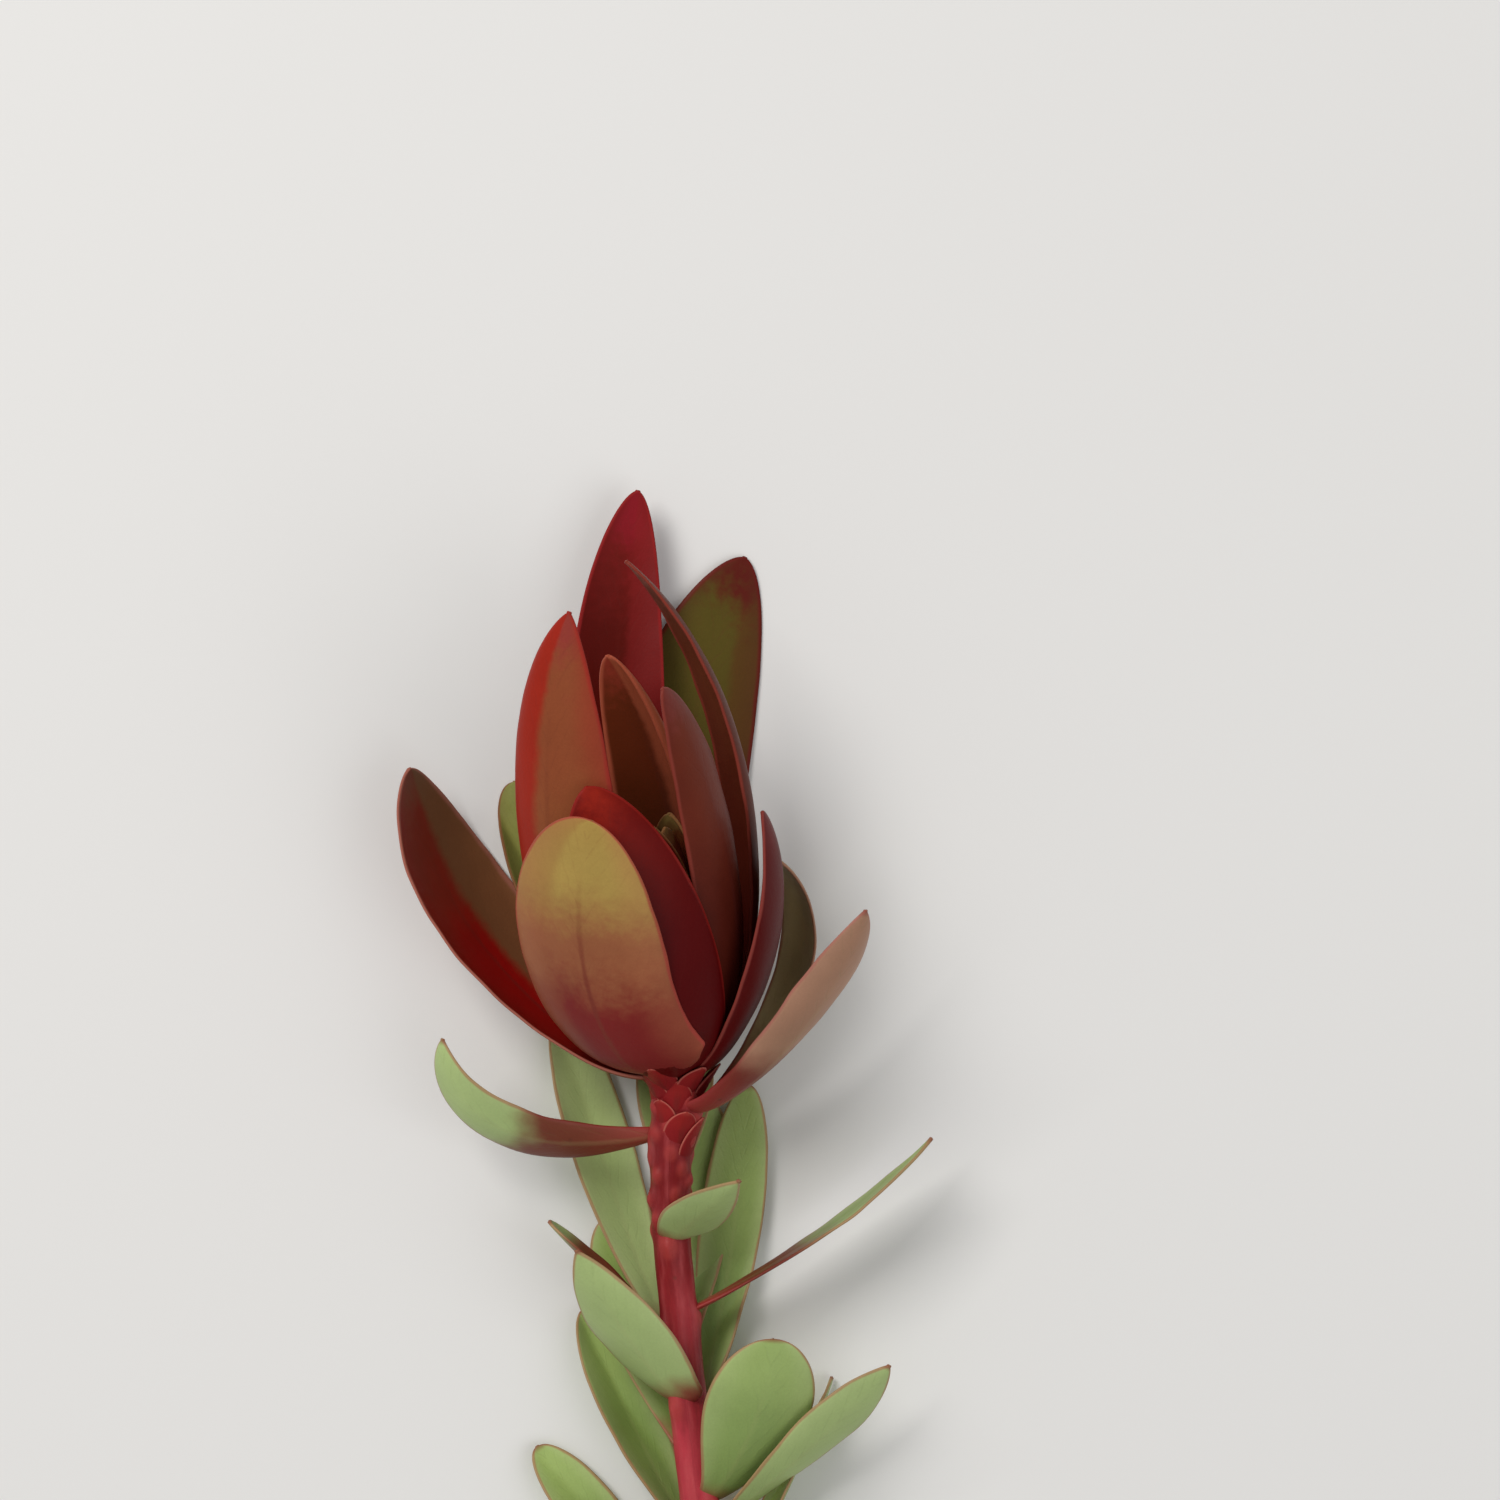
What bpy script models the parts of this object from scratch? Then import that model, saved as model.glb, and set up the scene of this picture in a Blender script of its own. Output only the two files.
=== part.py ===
"""A cut leucadendron stem lying on a flat surface, in metres, +Z up.

The stem runs along +Y with its head at the +Y end. It rests on its cut end and on the backs of
the lowest bracts, and the head looks a little upwards. Four solids make it up: the leafy stem,
the cup of outer bracts on its receptacle, the inner bracts that clasp the bud, and the cone.
"""
import math
import random
from dataclasses import dataclass, replace

import bpy
from mathutils import Matrix, Vector

# Driving dimensions
STEM_LENGTH = 0.340         # cut end to neck, measured along the stem
STEM_RADIUS = 0.0031
CUT_RADIUS = 0.0036
NECK_RADIUS = 0.0042
STEM_RISE = 2.4             # degrees by which the stem leaves the surface
HEAD_RISE = 14.0            # and by which the head looks up from it
STEM_HEADING = -6.4         # degrees from +Y, along the middle of the stem
CUT_SWERVE = 8.4            # more at the cut end
NECK_SWERVE = -2.3          # more at the neck
NECK_BEND = 12.0            # at most, to the other side, in the bend below the neck
NECK_BEND_PLACE = 0.007     # below the neck
BARE_LENGTH = 0.092         # lower stem, stripped of its leaves
LEAF_STEP = 0.0098          # distance along the stem from one leaf to the next
LEAF_LENGTH = 0.043
LEAF_WIDTH = 0.0150
BLADE_THICKNESS = 0.0007
ROOT_THICKNESS = 0.0013
ROOT_SHARE = 0.25           # of a blade's length, over which it thins
TIP_HALF_WIDTH = 0.00045
LEAF_ROOT_DEPTH = 0.35      # share of the stem's radius at which leaves start
OUTER_ROOT_DEPTH = 0.0024   # from the head's axis
INNER_ROOT_DEPTH = 0.0036
RECEPTACLE_RADIUS = 0.0076
RECEPTACLE_HEIGHT = 0.0080
SEAT_RADIUS = 0.0052
SEAT_HEIGHT = 0.0030
CONE_RADIUS = 0.0046
CONE_HEIGHT = 0.0200
GAP = 0.0003                # between one solid and the next
LEAF_CLEARANCE = 0.0006     # lowest leaves above the surface
REST_ARCH = 0.0012          # height of the arch under the head, which rests on its two sides
REST_MIDDLE = -0.0254       # from the middle of the cut end, sideways
REST_SPAN = 0.0221          # from there to each side
LAYER_STEP = 0.0010         # between blades that lie on one another
PRESS_BEND = 0.0012         # height over which a blade flattens onto the surface

SPIRAL_TURN = 137.5         # degrees from one leaf or bract to the next
CLEAR_OF_BELOW = 48         # degrees that leaves keep from straight down
LOWER_LEAF_TURN = 112       # where the spiral of lower leaves begins
STEM_SIDES = 12
STEM_RINGS = 26
NECK_RINGS = (0.945, 0.960, 0.972, 0.982, 0.991, 1.0)   # shares of the stem's length
HEAD_SIDES = 18
PATH_STEP = 0.001
BLADE_ROWS = 9
LEAF_COLUMNS = 2
BRACT_COLUMNS = 4
MIDRIB_STEPS = 6            # between two rows
SECTION_STEPS = 8           # from the midrib to a margin
CONE_LEVELS = 16
CONE_SIDES = 30
CONE_SPIRALS = 5            # rows of scales each way
CONE_RELIEF = 0.09          # of its radius
SMOOTH_ANGLE = 40
SEED = 11

LEAF_GREEN = (0.212, 0.270, 0.102, 1.0)
BRACT_RED = (0.190, 0.042, 0.020, 1.0)
INNER_RED = (0.240, 0.008, 0.008, 1.0)
CONE_OLIVE = (0.180, 0.130, 0.040, 1.0)
LEATHERY = 0.5


@dataclass
class Blade:
    """One leaf or bract. Angles are in degrees and lengths in millimetres."""
    place: float                    # of its root along the stem, or above the neck in the head
    turn: float                     # round the stem: 0 is up, 90 is the +X side
    length: float
    width: float
    lean: tuple = (55, 38, 30)      # from the stem at the root, in the middle and at the tip
    sway: tuple = (0, 0)            # sideways bend at the root and at the tip
    twist: tuple = (0, 0)           # about its own midrib, at the root and at the tip
    cup: float = 0.35               # how far each half rolls up towards the inner face
    curl: tuple = (0, 0)            # extra roll of the left and the right margin
    foot: float = 0.20              # width at the root over full width
    belly: float = 0.62             # where it is widest
    point: float = 0.5              # 0.5 is a round tip, 1 a pointed one
    layer: int = 0                  # how many blades lie under it on the surface


BRACT = Blade(0, 0, 70, 18, lean=(55, 15, 10), cup=0.7, foot=0.50, belly=0.50, point=0.62)
SCALE = Blade(0, 0, 42, 19, lean=(56, 4, -16), cup=1.05, foot=0.70, belly=0.50, point=0.62)

# Leaves near the head, placed one by one; place is measured down from the neck
UPPER_LEAVES = (
    Blade(5, 127, 57, 10, lean=(86, 50, -60), cup=0.7),
    Blade(4, 70, 51, 13, lean=(88, 42, 12), twist=(-10, -30), cup=0.8, foot=0.6, point=0.8),
    Blade(8, 275, 47, 11, lean=(106, 104, 2), twist=(70, 40), cup=0.3, point=0.8),
    Blade(18, 184, 31, 13, lean=(50, 30, 22), sway=(-4, -4)),
    Blade(26, 346, 26, 10, lean=(70, 50, 40), sway=(34, 44), foot=0.5, belly=0.35, point=1.0),
    Blade(44, 222, 60, 14, lean=(50, 20, 12), layer=1),
    Blade(39, 90, 51, 9, lean=(72, 66, 46), cup=0.15, point=0.8),
    Blade(42, 268, 28, 8, lean=(55, 44, 36), cup=0.6),
    Blade(46, 165, 48, 14, lean=(50, 34, 24)),
    Blade(54, 314, 36, 15, lean=(50, 36, 26), twist=(0, 30), foot=0.75, belly=0.35, point=0.9),
    Blade(58, 145, 60, 13, lean=(46, 28, 14), layer=2),
    Blade(64, 205, 46, 15, lean=(45, 30, 24)),
    Blade(71, 52, 34, 18, lean=(66, 40, 12), twist=(-30, -50), cup=0.25),
    Blade(76, 74, 43, 11, lean=(60, 56, 46), twist=(-20, -50), point=0.8),
    Blade(78, 235, 44, 16, lean=(45, 26, 16), layer=1),
)

# Outer bracts; place is measured up from the neck
OUTER_BRACTS = (
    replace(BRACT, place=4.6, turn=-34, length=60, width=28, lean=(110, 20, 2), sway=(-10, 28),
            twist=(0, 10), cup=0.6, foot=1.0, belly=0.48, point=0.5),
    replace(BRACT, place=2.2, turn=242, length=72, width=28, lean=(91, 50, -8), cup=0.6, belly=0.58),
    replace(BRACT, place=1.6, turn=170, length=95, width=26, lean=(84, 30, 20), sway=(8, -28)),
    replace(BRACT, place=1.8, turn=80, length=52, width=20, lean=(86, 36, -18)),
    replace(BRACT, place=3.0, turn=4, length=62, width=24, lean=(90, 20, -18), sway=(0, -14),
            foot=0.7, belly=0.42, point=0.6),
    replace(BRACT, place=3.0, turn=222, length=60, width=23, lean=(80, 42, 26), sway=(-10, -10),
            point=0.5),
    replace(BRACT, place=3.6, turn=108, length=95, width=13, lean=(80, 13, -40), cup=0.9,
            sway=(0, 3)),
    replace(BRACT, place=4.2, turn=66, length=75, width=16, lean=(86, 7, -10), sway=(4, -24),
            twist=(0, -10)),
    replace(BRACT, place=4.6, turn=188, length=99, width=18, lean=(76, 11, 14), sway=(6, -22)),
    replace(BRACT, place=4.6, turn=154, length=73, width=18, lean=(78, 14, -24), sway=(0, 10),
            curl=(1.8, 0)),
    replace(BRACT, place=4.6, turn=304, length=88, width=25, lean=(88, 6, -23), cup=0.8,
            sway=(0, 8), twist=(0, 32), curl=(0.6, 0), belly=0.46, point=0.8),
)

# Inner bracts, in two rings of three
INNER_BRACTS = (
    replace(SCALE, place=9.4, turn=2, length=41, lean=(66, 6, -16)),
    replace(SCALE, place=9.4, turn=122, length=38, lean=(66, 6, -16)),
    replace(SCALE, place=9.4, turn=242, length=41, lean=(66, 6, -14)),
    replace(SCALE, place=10.2, turn=62, length=36, width=16),
    replace(SCALE, place=10.2, turn=182, length=37, width=16),
    replace(SCALE, place=10.2, turn=302, length=38, width=16),
)


def stem_direction(share):
    """Direction of the stem at a share of its length: it turns left and up towards the head."""
    rise = math.radians(STEM_RISE * share + (HEAD_RISE - STEM_RISE) * share ** 8)
    below = (1.0 - share) * STEM_LENGTH / NECK_BEND_PLACE
    heading = math.radians(STEM_HEADING + CUT_SWERVE * (1.0 - share) ** 2
                           + NECK_SWERVE * math.exp(-3.0 * below)
                           + NECK_BEND * below * math.exp(1.0 - below))
    return Vector((math.sin(heading) * math.cos(rise),
                   math.cos(heading) * math.cos(rise),
                   math.sin(rise)))


def trace_stem():
    """Points along the stem's middle, one for each path step, from the cut end to the neck."""
    steps = round(STEM_LENGTH / PATH_STEP)
    points = [Vector((0.0, 0.0, CUT_RADIUS))]
    for step in range(steps):
        points.append(points[-1] + stem_direction((step + 0.5) / steps) * PATH_STEP)
    return points


STEM_PATH = trace_stem()


def stem_frame(place):
    """Middle of the stem at a distance from the cut end, with its along, up and side axes."""
    place = min(max(place, 0.0), STEM_LENGTH)
    step = min(int(place / PATH_STEP), len(STEM_PATH) - 2)
    middle = STEM_PATH[step].lerp(STEM_PATH[step + 1], place / PATH_STEP - step)
    along = stem_direction(place / STEM_LENGTH)
    up = (Vector((0, 0, 1)) - along * along.z).normalized()
    return middle, along, up, along.cross(up)


def head_frame(height):
    """The same for the head, whose axis goes straight on from the neck."""
    neck, along, up, side = stem_frame(STEM_LENGTH)
    return neck + along * height, along, up, side


def stem_radius(place):
    """The stem is thickest at its cut end and swells again below the head."""
    share = place / STEM_LENGTH
    swell = max(0.0, (share - 0.93) / 0.07)
    return (STEM_RADIUS + (CUT_RADIUS - STEM_RADIUS) * (1.0 - share)
            + (NECK_RADIUS - STEM_RADIUS) * swell * swell)


def new_object(name, points, faces):
    mesh = bpy.data.meshes.new(name)
    mesh.from_pydata(points, [], faces)
    mesh.validate()
    piece = bpy.data.objects.new(name, mesh)
    bpy.context.scene.collection.objects.link(piece)
    return piece


def lofted(name, rings):
    """A closed solid through rings of points, each ring counter-clockwise seen from the end."""
    sides = len(rings[0])
    points = [point for ring in rings for point in ring]
    faces = []
    for ring in range(len(rings) - 1):
        for side in range(sides):
            low = ring * sides
            after = (side + 1) % sides
            faces.append((low + side, low + after, low + sides + after, low + sides + side))
    faces.append(tuple(reversed(range(sides))))
    faces.append(tuple(range(len(points) - sides, len(points))))
    return new_object(name, points, faces)


def ring_points(frame, radius, sides):
    """A ring round the stem or head, with a corner right below, on which the cut end rests."""
    middle, _, up, side = frame
    turns = [2.0 * math.pi * step / sides for step in range(sides)]
    return [middle + (up * math.cos(turn) + side * math.sin(turn)) * radius for turn in turns]


def blend(values, share):
    """Root, middle and tip angle: the root's share fades fast, the tip's comes in late."""
    root, middle, tip = values
    return (middle + (root - middle) * math.exp(-share / 0.12)
            + (tip - middle) * share * share)


def half_width(blade, share):
    """Swells from the foot to the belly, then closes to the tip."""
    if share < blade.belly:
        grown = math.sin(0.5 * math.pi * share / blade.belly) ** 1.3
        part = blade.foot + (1.0 - blade.foot) * grown
    else:
        fall = (share - blade.belly) / (1.0 - blade.belly)
        part = max(1.0 - fall ** 2.0, 0.0) ** blade.point
    return max(0.0005 * blade.width * part, TIP_HALF_WIDTH)


def cross_section(half, cup, curl, columns):
    """Offsets sideways and towards the inner face, from the left margin to the right one."""
    sides = []
    for margin in (0, 1):
        offset, depth = 0.0, 0.0
        walk = [(0.0, 0.0)]
        for step in range(SECTION_STEPS):
            reach = (step + 0.5) / SECTION_STEPS
            angle = cup * reach + curl[margin] * max(0.0, reach - 0.45) ** 2 * 6.0
            offset += math.cos(angle) * half / SECTION_STEPS
            depth += math.sin(angle) * half / SECTION_STEPS
            walk.append((offset, depth))
        picked = [walk[round(SECTION_STEPS * step / (columns // 2))]
                  for step in range(1, columns // 2 + 1)]
        sides.append(picked)
    left = [(-offset, depth) for offset, depth in reversed(sides[0])]
    return left + [(0.0, 0.0)] + sides[1]


def press(height, rest):
    """Keeps a height above the rest level, with a soft bend where it comes down to it."""
    over = (height - rest) / PRESS_BEND
    if over > 20.0:
        return height
    eased = math.log1p(math.exp(over)) * (1.0 - math.exp(-math.exp(over)))
    return rest + PRESS_BEND * eased


def blade_rows(rows):
    """Shares of the length at which rows lie, closer together towards the tip."""
    return [math.sin(0.5 * math.pi * row / rows) for row in range(rows + 1)]


def leaf_rest(blade, spot):
    """Lowest height for a point of a leaf: leaves lie in layers, just clear of the surface."""
    return LEAF_CLEARANCE + blade.layer * LAYER_STEP + 0.5 * BLADE_THICKNESS


def bract_rest(blade, spot):
    """Lowest height for a point of a bract: an arch that comes down at both sides of the head."""
    offset = (spot.x - REST_MIDDLE) / REST_SPAN
    return REST_ARCH * (1.0 - offset ** 4) + 0.5 * BLADE_THICKNESS


def blade_surface(blade, frame, depth, rows, columns, rest):
    """Grid of points on the middle surface of a blade, row by row from root to tip."""
    middle, along, up, side = frame
    turn = math.radians(blade.turn)
    out = up * math.cos(turn) + side * math.sin(turn)
    across = along.cross(out)
    point = middle + out * depth
    grid = []
    share = 0.0
    for target in blade_rows(rows):
        steps = 1 if target == 0.0 else MIDRIB_STEPS
        stride = (target - share) / steps
        for _ in range(steps):
            here = share + 0.5 * stride
            lean = math.radians(blend(blade.lean, here))
            sway = math.radians(blade.sway[0] + (blade.sway[1] - blade.sway[0]) * here)
            flat = along * math.cos(lean) + out * math.sin(lean)
            heading = flat * math.cos(sway) + across * math.sin(sway)
            point = point + heading * (stride * blade.length * 0.001)
            share += stride
        twist = math.radians(blade.twist[0] + (blade.twist[1] - blade.twist[0]) * share)
        width_axis = (across - heading * across.dot(heading)).normalized()
        width_axis = Matrix.Rotation(twist, 3, heading) @ width_axis
        inward = heading.cross(width_axis)
        half = half_width(blade, share)
        fullness = (half / (0.0005 * blade.width)) ** 0.6
        cup = blade.cup * (1.3 - 0.65 * share) * fullness
        fold = min(max((share - 0.3) / 0.3, 0.0), 1.0)
        curl = [margin * fold * fullness for margin in blade.curl]
        section = cross_section(half, cup, curl, columns)
        row = [point + width_axis * offset + inward * rise for offset, rise in section]
        for spot in row:
            spot.z = press(spot.z, rest(blade, spot))
        grid.append(row)
    return grid


def grid_normals(grid):
    """Normals that point to the blade's inner face."""
    normals = []
    for row in range(len(grid)):
        line = []
        for column in range(len(grid[0])):
            ahead = grid[min(row + 1, len(grid) - 1)][column]
            behind = grid[max(row - 1, 0)][column]
            right = grid[row][min(column + 1, len(grid[0]) - 1)]
            left = grid[row][max(column - 1, 0)]
            line.append((ahead - behind).cross(right - left).normalized())
        normals.append(line)
    return normals


def blade_solid(name, grid):
    """Thickens a grid evenly on both sides and closes it round the edge, all in triangles."""
    normals = grid_normals(grid)
    rows, columns = len(grid), len(grid[0])
    shares = blade_rows(rows - 1)
    inner, outer = [], []
    for row in range(rows):
        root = max(0.0, 1.0 - shares[row] / ROOT_SHARE)
        thickness = BLADE_THICKNESS + (ROOT_THICKNESS - BLADE_THICKNESS) * root
        for column in range(columns):
            shift = normals[row][column] * (0.5 * thickness)
            inner.append(grid[row][column] + shift)
            outer.append(grid[row][column] - shift)
    count = rows * columns
    faces = []
    for row in range(rows - 1):
        for column in range(columns - 1):
            a = row * columns + column
            b, c, d = a + 1, a + columns + 1, a + columns
            faces += [(a, c, b), (a, d, c)]
            faces += [(a + count, b + count, c + count), (a + count, c + count, d + count)]
    edge = ([column for column in range(columns)]
            + [row * columns + columns - 1 for row in range(1, rows)]
            + [(rows - 1) * columns + column for column in range(columns - 2, -1, -1)]
            + [row * columns for row in range(rows - 2, 0, -1)])
    for here, after in zip(edge, edge[1:] + edge[:1]):
        faces += [(here, after, after + count), (here, after + count, here + count)]
    return new_object(name, inner + outer, faces)


def fuse(core, blades, solver="EXACT"):
    """Joins the blades to the core with one Boolean, so that the core is one closed body."""
    group = bpy.data.collections.new("blades")
    bpy.context.scene.collection.children.link(group)
    for blade in blades:
        bpy.context.scene.collection.objects.unlink(blade)
        group.objects.link(blade)
    union = core.modifiers.new("Union", "BOOLEAN")
    union.operation = "UNION"
    union.solver = solver
    union.operand_type = "COLLECTION"
    union.collection = group
    bpy.context.view_layer.update()
    shape = core.evaluated_get(bpy.context.evaluated_depsgraph_get())
    joined = bpy.data.meshes.new_from_object(shape)
    core.modifiers.clear()
    core.data = joined
    for blade in blades:
        bpy.data.objects.remove(blade)
    bpy.data.collections.remove(group)


def paint(piece, name, colour):
    material = bpy.data.materials.new(name)
    material.use_nodes = True
    shader = material.node_tree.nodes["Principled BSDF"]
    shader.inputs["Base Color"].default_value = colour
    shader.inputs["Roughness"].default_value = LEATHERY
    shader.inputs["Metallic"].default_value = 0.0
    material.diffuse_color = colour
    piece.data.materials.append(material)


def smooth(piece):
    piece.data.shade_smooth()
    piece.data.set_sharp_from_angle(angle=math.radians(SMOOTH_ANGLE))


def lower_leaves():
    """The rest of the leaves, one every step down the stem, each a turn of the spiral on."""
    draw = random.Random(SEED)
    leaves = []
    place = max(leaf.place for leaf in UPPER_LEAVES) + LEAF_STEP * 1000
    turn = LOWER_LEAF_TURN
    while place < (STEM_LENGTH - BARE_LENGTH) * 1000:
        from_below = (turn % 360) - 180
        if abs(from_below) < CLEAR_OF_BELOW:
            from_below = math.copysign(CLEAR_OF_BELOW + 0.3 * abs(from_below), from_below)
        size = draw.uniform(0.88, 1.12)
        leaves.append(Blade(
            place, 180 + from_below, LEAF_LENGTH * 1000 * size,
            LEAF_WIDTH * 1000 * draw.uniform(0.88, 1.1),
            lean=(draw.uniform(50, 60), draw.uniform(32, 44), draw.uniform(20, 36)),
            sway=(0, draw.uniform(-10, 10)), twist=(0, draw.uniform(-35, 35)),
            cup=draw.uniform(0.2, 0.45), layer=len(leaves) % 3))
        place += LEAF_STEP * 1000 * draw.uniform(0.92, 1.08)
        turn += SPIRAL_TURN
    return leaves


def all_leaves():
    return list(UPPER_LEAVES) + lower_leaves()


def make_leaf(number, leaf):
    place = STEM_LENGTH - leaf.place * 0.001
    frame = stem_frame(place)
    depth = LEAF_ROOT_DEPTH * stem_radius(place)
    grid = blade_surface(leaf, frame, depth, BLADE_ROWS, LEAF_COLUMNS, leaf_rest)
    return blade_solid(f"leaf_{number}", grid)


def make_bract(number, bract, depth):
    frame = head_frame(bract.place * 0.001)
    grid = blade_surface(bract, frame, depth, BLADE_ROWS, BRACT_COLUMNS, bract_rest)
    return blade_solid(f"bract_{number}", grid)


def make_leafy_stem():
    shares = [step / STEM_RINGS for step in range(STEM_RINGS - 1)] + list(NECK_RINGS)
    rings = [ring_points(stem_frame(STEM_LENGTH * share), stem_radius(STEM_LENGTH * share), STEM_SIDES)
             for share in shares]
    stem = lofted("leafy_stem", rings)
    blades = [make_leaf(number, leaf) for number, leaf in enumerate(all_leaves())]
    fuse(stem, blades, "MANIFOLD")
    paint(stem, "leaf", LEAF_GREEN)
    smooth(stem)
    return stem


def make_outer_bracts():
    profile = ((GAP, NECK_RADIUS), (0.0028, 0.0052), (0.0055, 0.0068),
               (0.0072, RECEPTACLE_RADIUS), (RECEPTACLE_HEIGHT, RECEPTACLE_RADIUS))
    rings = [ring_points(head_frame(height), radius, HEAD_SIDES) for height, radius in profile]
    cup = lofted("outer_bracts", rings)
    blades = [make_bract(number, bract, OUTER_ROOT_DEPTH) for number, bract in enumerate(OUTER_BRACTS)]
    fuse(cup, blades)
    paint(cup, "outer_bract", BRACT_RED)
    smooth(cup)
    return cup


def make_inner_bracts():
    low = RECEPTACLE_HEIGHT + GAP
    rings = [ring_points(head_frame(height), SEAT_RADIUS, HEAD_SIDES)
             for height in (low, low + SEAT_HEIGHT)]
    seat = lofted("inner_bracts", rings)
    blades = [make_bract(number, bract, INNER_ROOT_DEPTH) for number, bract in enumerate(INNER_BRACTS)]
    fuse(seat, blades)
    paint(seat, "inner_bract", INNER_RED)
    smooth(seat)
    return seat


def make_cone():
    """An egg-shaped cone whose closed scales run round it in two sets of spirals."""
    low = RECEPTACLE_HEIGHT + SEAT_HEIGHT + 2.0 * GAP
    rings = []
    for level in range(CONE_LEVELS + 1):
        middle, _, up, side = head_frame(low + CONE_HEIGHT * level / CONE_LEVELS)
        share = 0.04 + 0.93 * level / CONE_LEVELS
        body = CONE_RADIUS * math.sin(math.pi * share ** 0.8) ** 0.6
        ring = []
        for step in range(CONE_SIDES):
            turn = 2.0 * math.pi * step / CONE_SIDES
            climb = 18.0 * share
            scale = math.cos(CONE_SPIRALS * turn + climb) * math.cos(CONE_SPIRALS * turn - climb)
            radius = body * (1.0 + CONE_RELIEF * scale)
            ring.append(middle + (up * math.cos(turn) + side * math.sin(turn)) * radius)
        rings.append(ring)
    cone = lofted("flower_cone", rings)
    paint(cone, "cone", CONE_OLIVE)
    smooth(cone)
    return cone


def centre_on_base(pieces):
    """Hangs the pieces on an empty, placed so that the origin is the middle of their base."""
    points = [vertex.co for piece in pieces for vertex in piece.data.vertices]
    low = [min(point[axis] for point in points) for axis in range(3)]
    high = [max(point[axis] for point in points) for axis in range(3)]
    holder = bpy.data.objects.new("stem_holder", None)
    holder.location = (-(low[0] + high[0]) / 2, -(low[1] + high[1]) / 2, -low[2])
    bpy.context.scene.collection.objects.link(holder)
    for piece in pieces:
        piece.parent = holder


def main():
    for piece in list(bpy.data.objects):
        bpy.data.objects.remove(piece)
    pieces = [make_leafy_stem(), make_outer_bracts(), make_inner_bracts(), make_cone()]
    centre_on_base(pieces)


if __name__ == "__main__":
    main()
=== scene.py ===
import random
from math import copysign, cos, exp, hypot, log1p, pi, radians, sin, sqrt

import bmesh
import bpy
from mathutils import Matrix, Vector, noise


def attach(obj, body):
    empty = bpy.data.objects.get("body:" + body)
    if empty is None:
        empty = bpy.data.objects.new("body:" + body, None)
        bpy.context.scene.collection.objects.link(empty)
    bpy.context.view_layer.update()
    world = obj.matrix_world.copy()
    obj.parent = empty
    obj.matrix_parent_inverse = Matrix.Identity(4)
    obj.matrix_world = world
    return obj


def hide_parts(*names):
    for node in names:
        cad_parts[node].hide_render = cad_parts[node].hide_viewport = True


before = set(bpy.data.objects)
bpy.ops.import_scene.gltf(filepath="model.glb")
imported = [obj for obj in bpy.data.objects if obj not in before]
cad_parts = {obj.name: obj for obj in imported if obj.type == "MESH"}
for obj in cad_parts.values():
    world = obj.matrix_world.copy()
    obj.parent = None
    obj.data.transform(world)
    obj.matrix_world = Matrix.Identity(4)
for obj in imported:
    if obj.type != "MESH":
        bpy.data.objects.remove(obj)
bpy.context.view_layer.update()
print("frame loaded:", ", ".join(sorted(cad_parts)))

mm = 0.001


# Placing: the stem's own line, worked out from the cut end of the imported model

stem = {
    "length": 0.340, "radius": 0.0031, "cutRadius": 0.0036, "neckRadius": 0.0042,
    "swellFrom": 0.93, "swellLength": 0.07,              # shares of the length, below the neck
    "rise": 2.4, "headRise": 14.0, "headRisePower": 8,   # degrees up from the surface
    "heading": -6.4, "cutSwerve": 8.4,                   # degrees from +Y
    "neckSwerve": -2.3, "neckSwerveFade": 3,
    "neckBend": 12.0, "neckBendPlace": 0.007,            # degrees the other way, below the neck
    "cutSlice": 0.0004, "bareLength": 0.092, "pathStep": 0.001,
    "spiralTurn": 137.5,                                 # degrees from one leaf to the next
}


def between(ends, share):
    return ends[0] + (ends[1] - ends[0]) * share


def cutMiddle():
    points = [vertex.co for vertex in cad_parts["leafy_stem"].data.vertices]
    end = min(point.y for point in points) + stem["cutSlice"]
    ring = {tuple(round(value, 6) for value in point) for point in points if point.y < end}
    return sum((Vector(point) for point in ring), Vector()) / len(ring)


def stemDirection(share):
    rise = radians(stem["rise"] * share
                   + (stem["headRise"] - stem["rise"]) * share ** stem["headRisePower"])
    below = (1 - share) * stem["length"] / stem["neckBendPlace"]
    heading = radians(stem["heading"] + stem["cutSwerve"] * (1 - share) ** 2
                      + stem["neckSwerve"] * exp(-stem["neckSwerveFade"] * below)
                      + stem["neckBend"] * below * exp(1 - below))
    return Vector((sin(heading) * cos(rise), cos(heading) * cos(rise), sin(rise)))


def traceStem():
    steps = round(stem["length"] / stem["pathStep"])
    points = [cutMiddle()]
    for step in range(steps):
        points.append(points[-1] + stemDirection((step + 0.5) / steps) * stem["pathStep"])
    return points


stemPath = traceStem()


def stemFrame(place):
    # middle, along, up and side at a distance from the cut end
    place = min(max(place, 0.0), stem["length"])
    step = min(int(place / stem["pathStep"]), len(stemPath) - 2)
    middle = stemPath[step].lerp(stemPath[step + 1], place / stem["pathStep"] - step)
    along = stemDirection(place / stem["length"])
    up = (Vector((0, 0, 1)) - along * along.z).normalized()
    return middle, along, up, along.cross(up)


def headFrame(height):
    neck, along, up, side = stemFrame(stem["length"])
    return neck + along * height, along, up, side


def outward(base, angle):
    # straight out of the stem, at an angle from its upper side
    return base[2] * cos(angle) + base[3] * sin(angle)


def stemRadius(place):
    share = place / stem["length"]
    swell = max(0.0, (share - stem["swellFrom"]) / stem["swellLength"])
    return (between((stem["radius"], stem["cutRadius"]), 1 - share)
            + (stem["neckRadius"] - stem["radius"]) * swell * swell)


def ringAngles(sides):
    return [2 * pi * step / sides for step in range(sides)]


def roundNoise(angle, size, place):
    # noise that meets itself after a full turn
    return noise.noise(Vector((cos(angle) * size, sin(angle) * size, place)))


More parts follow.
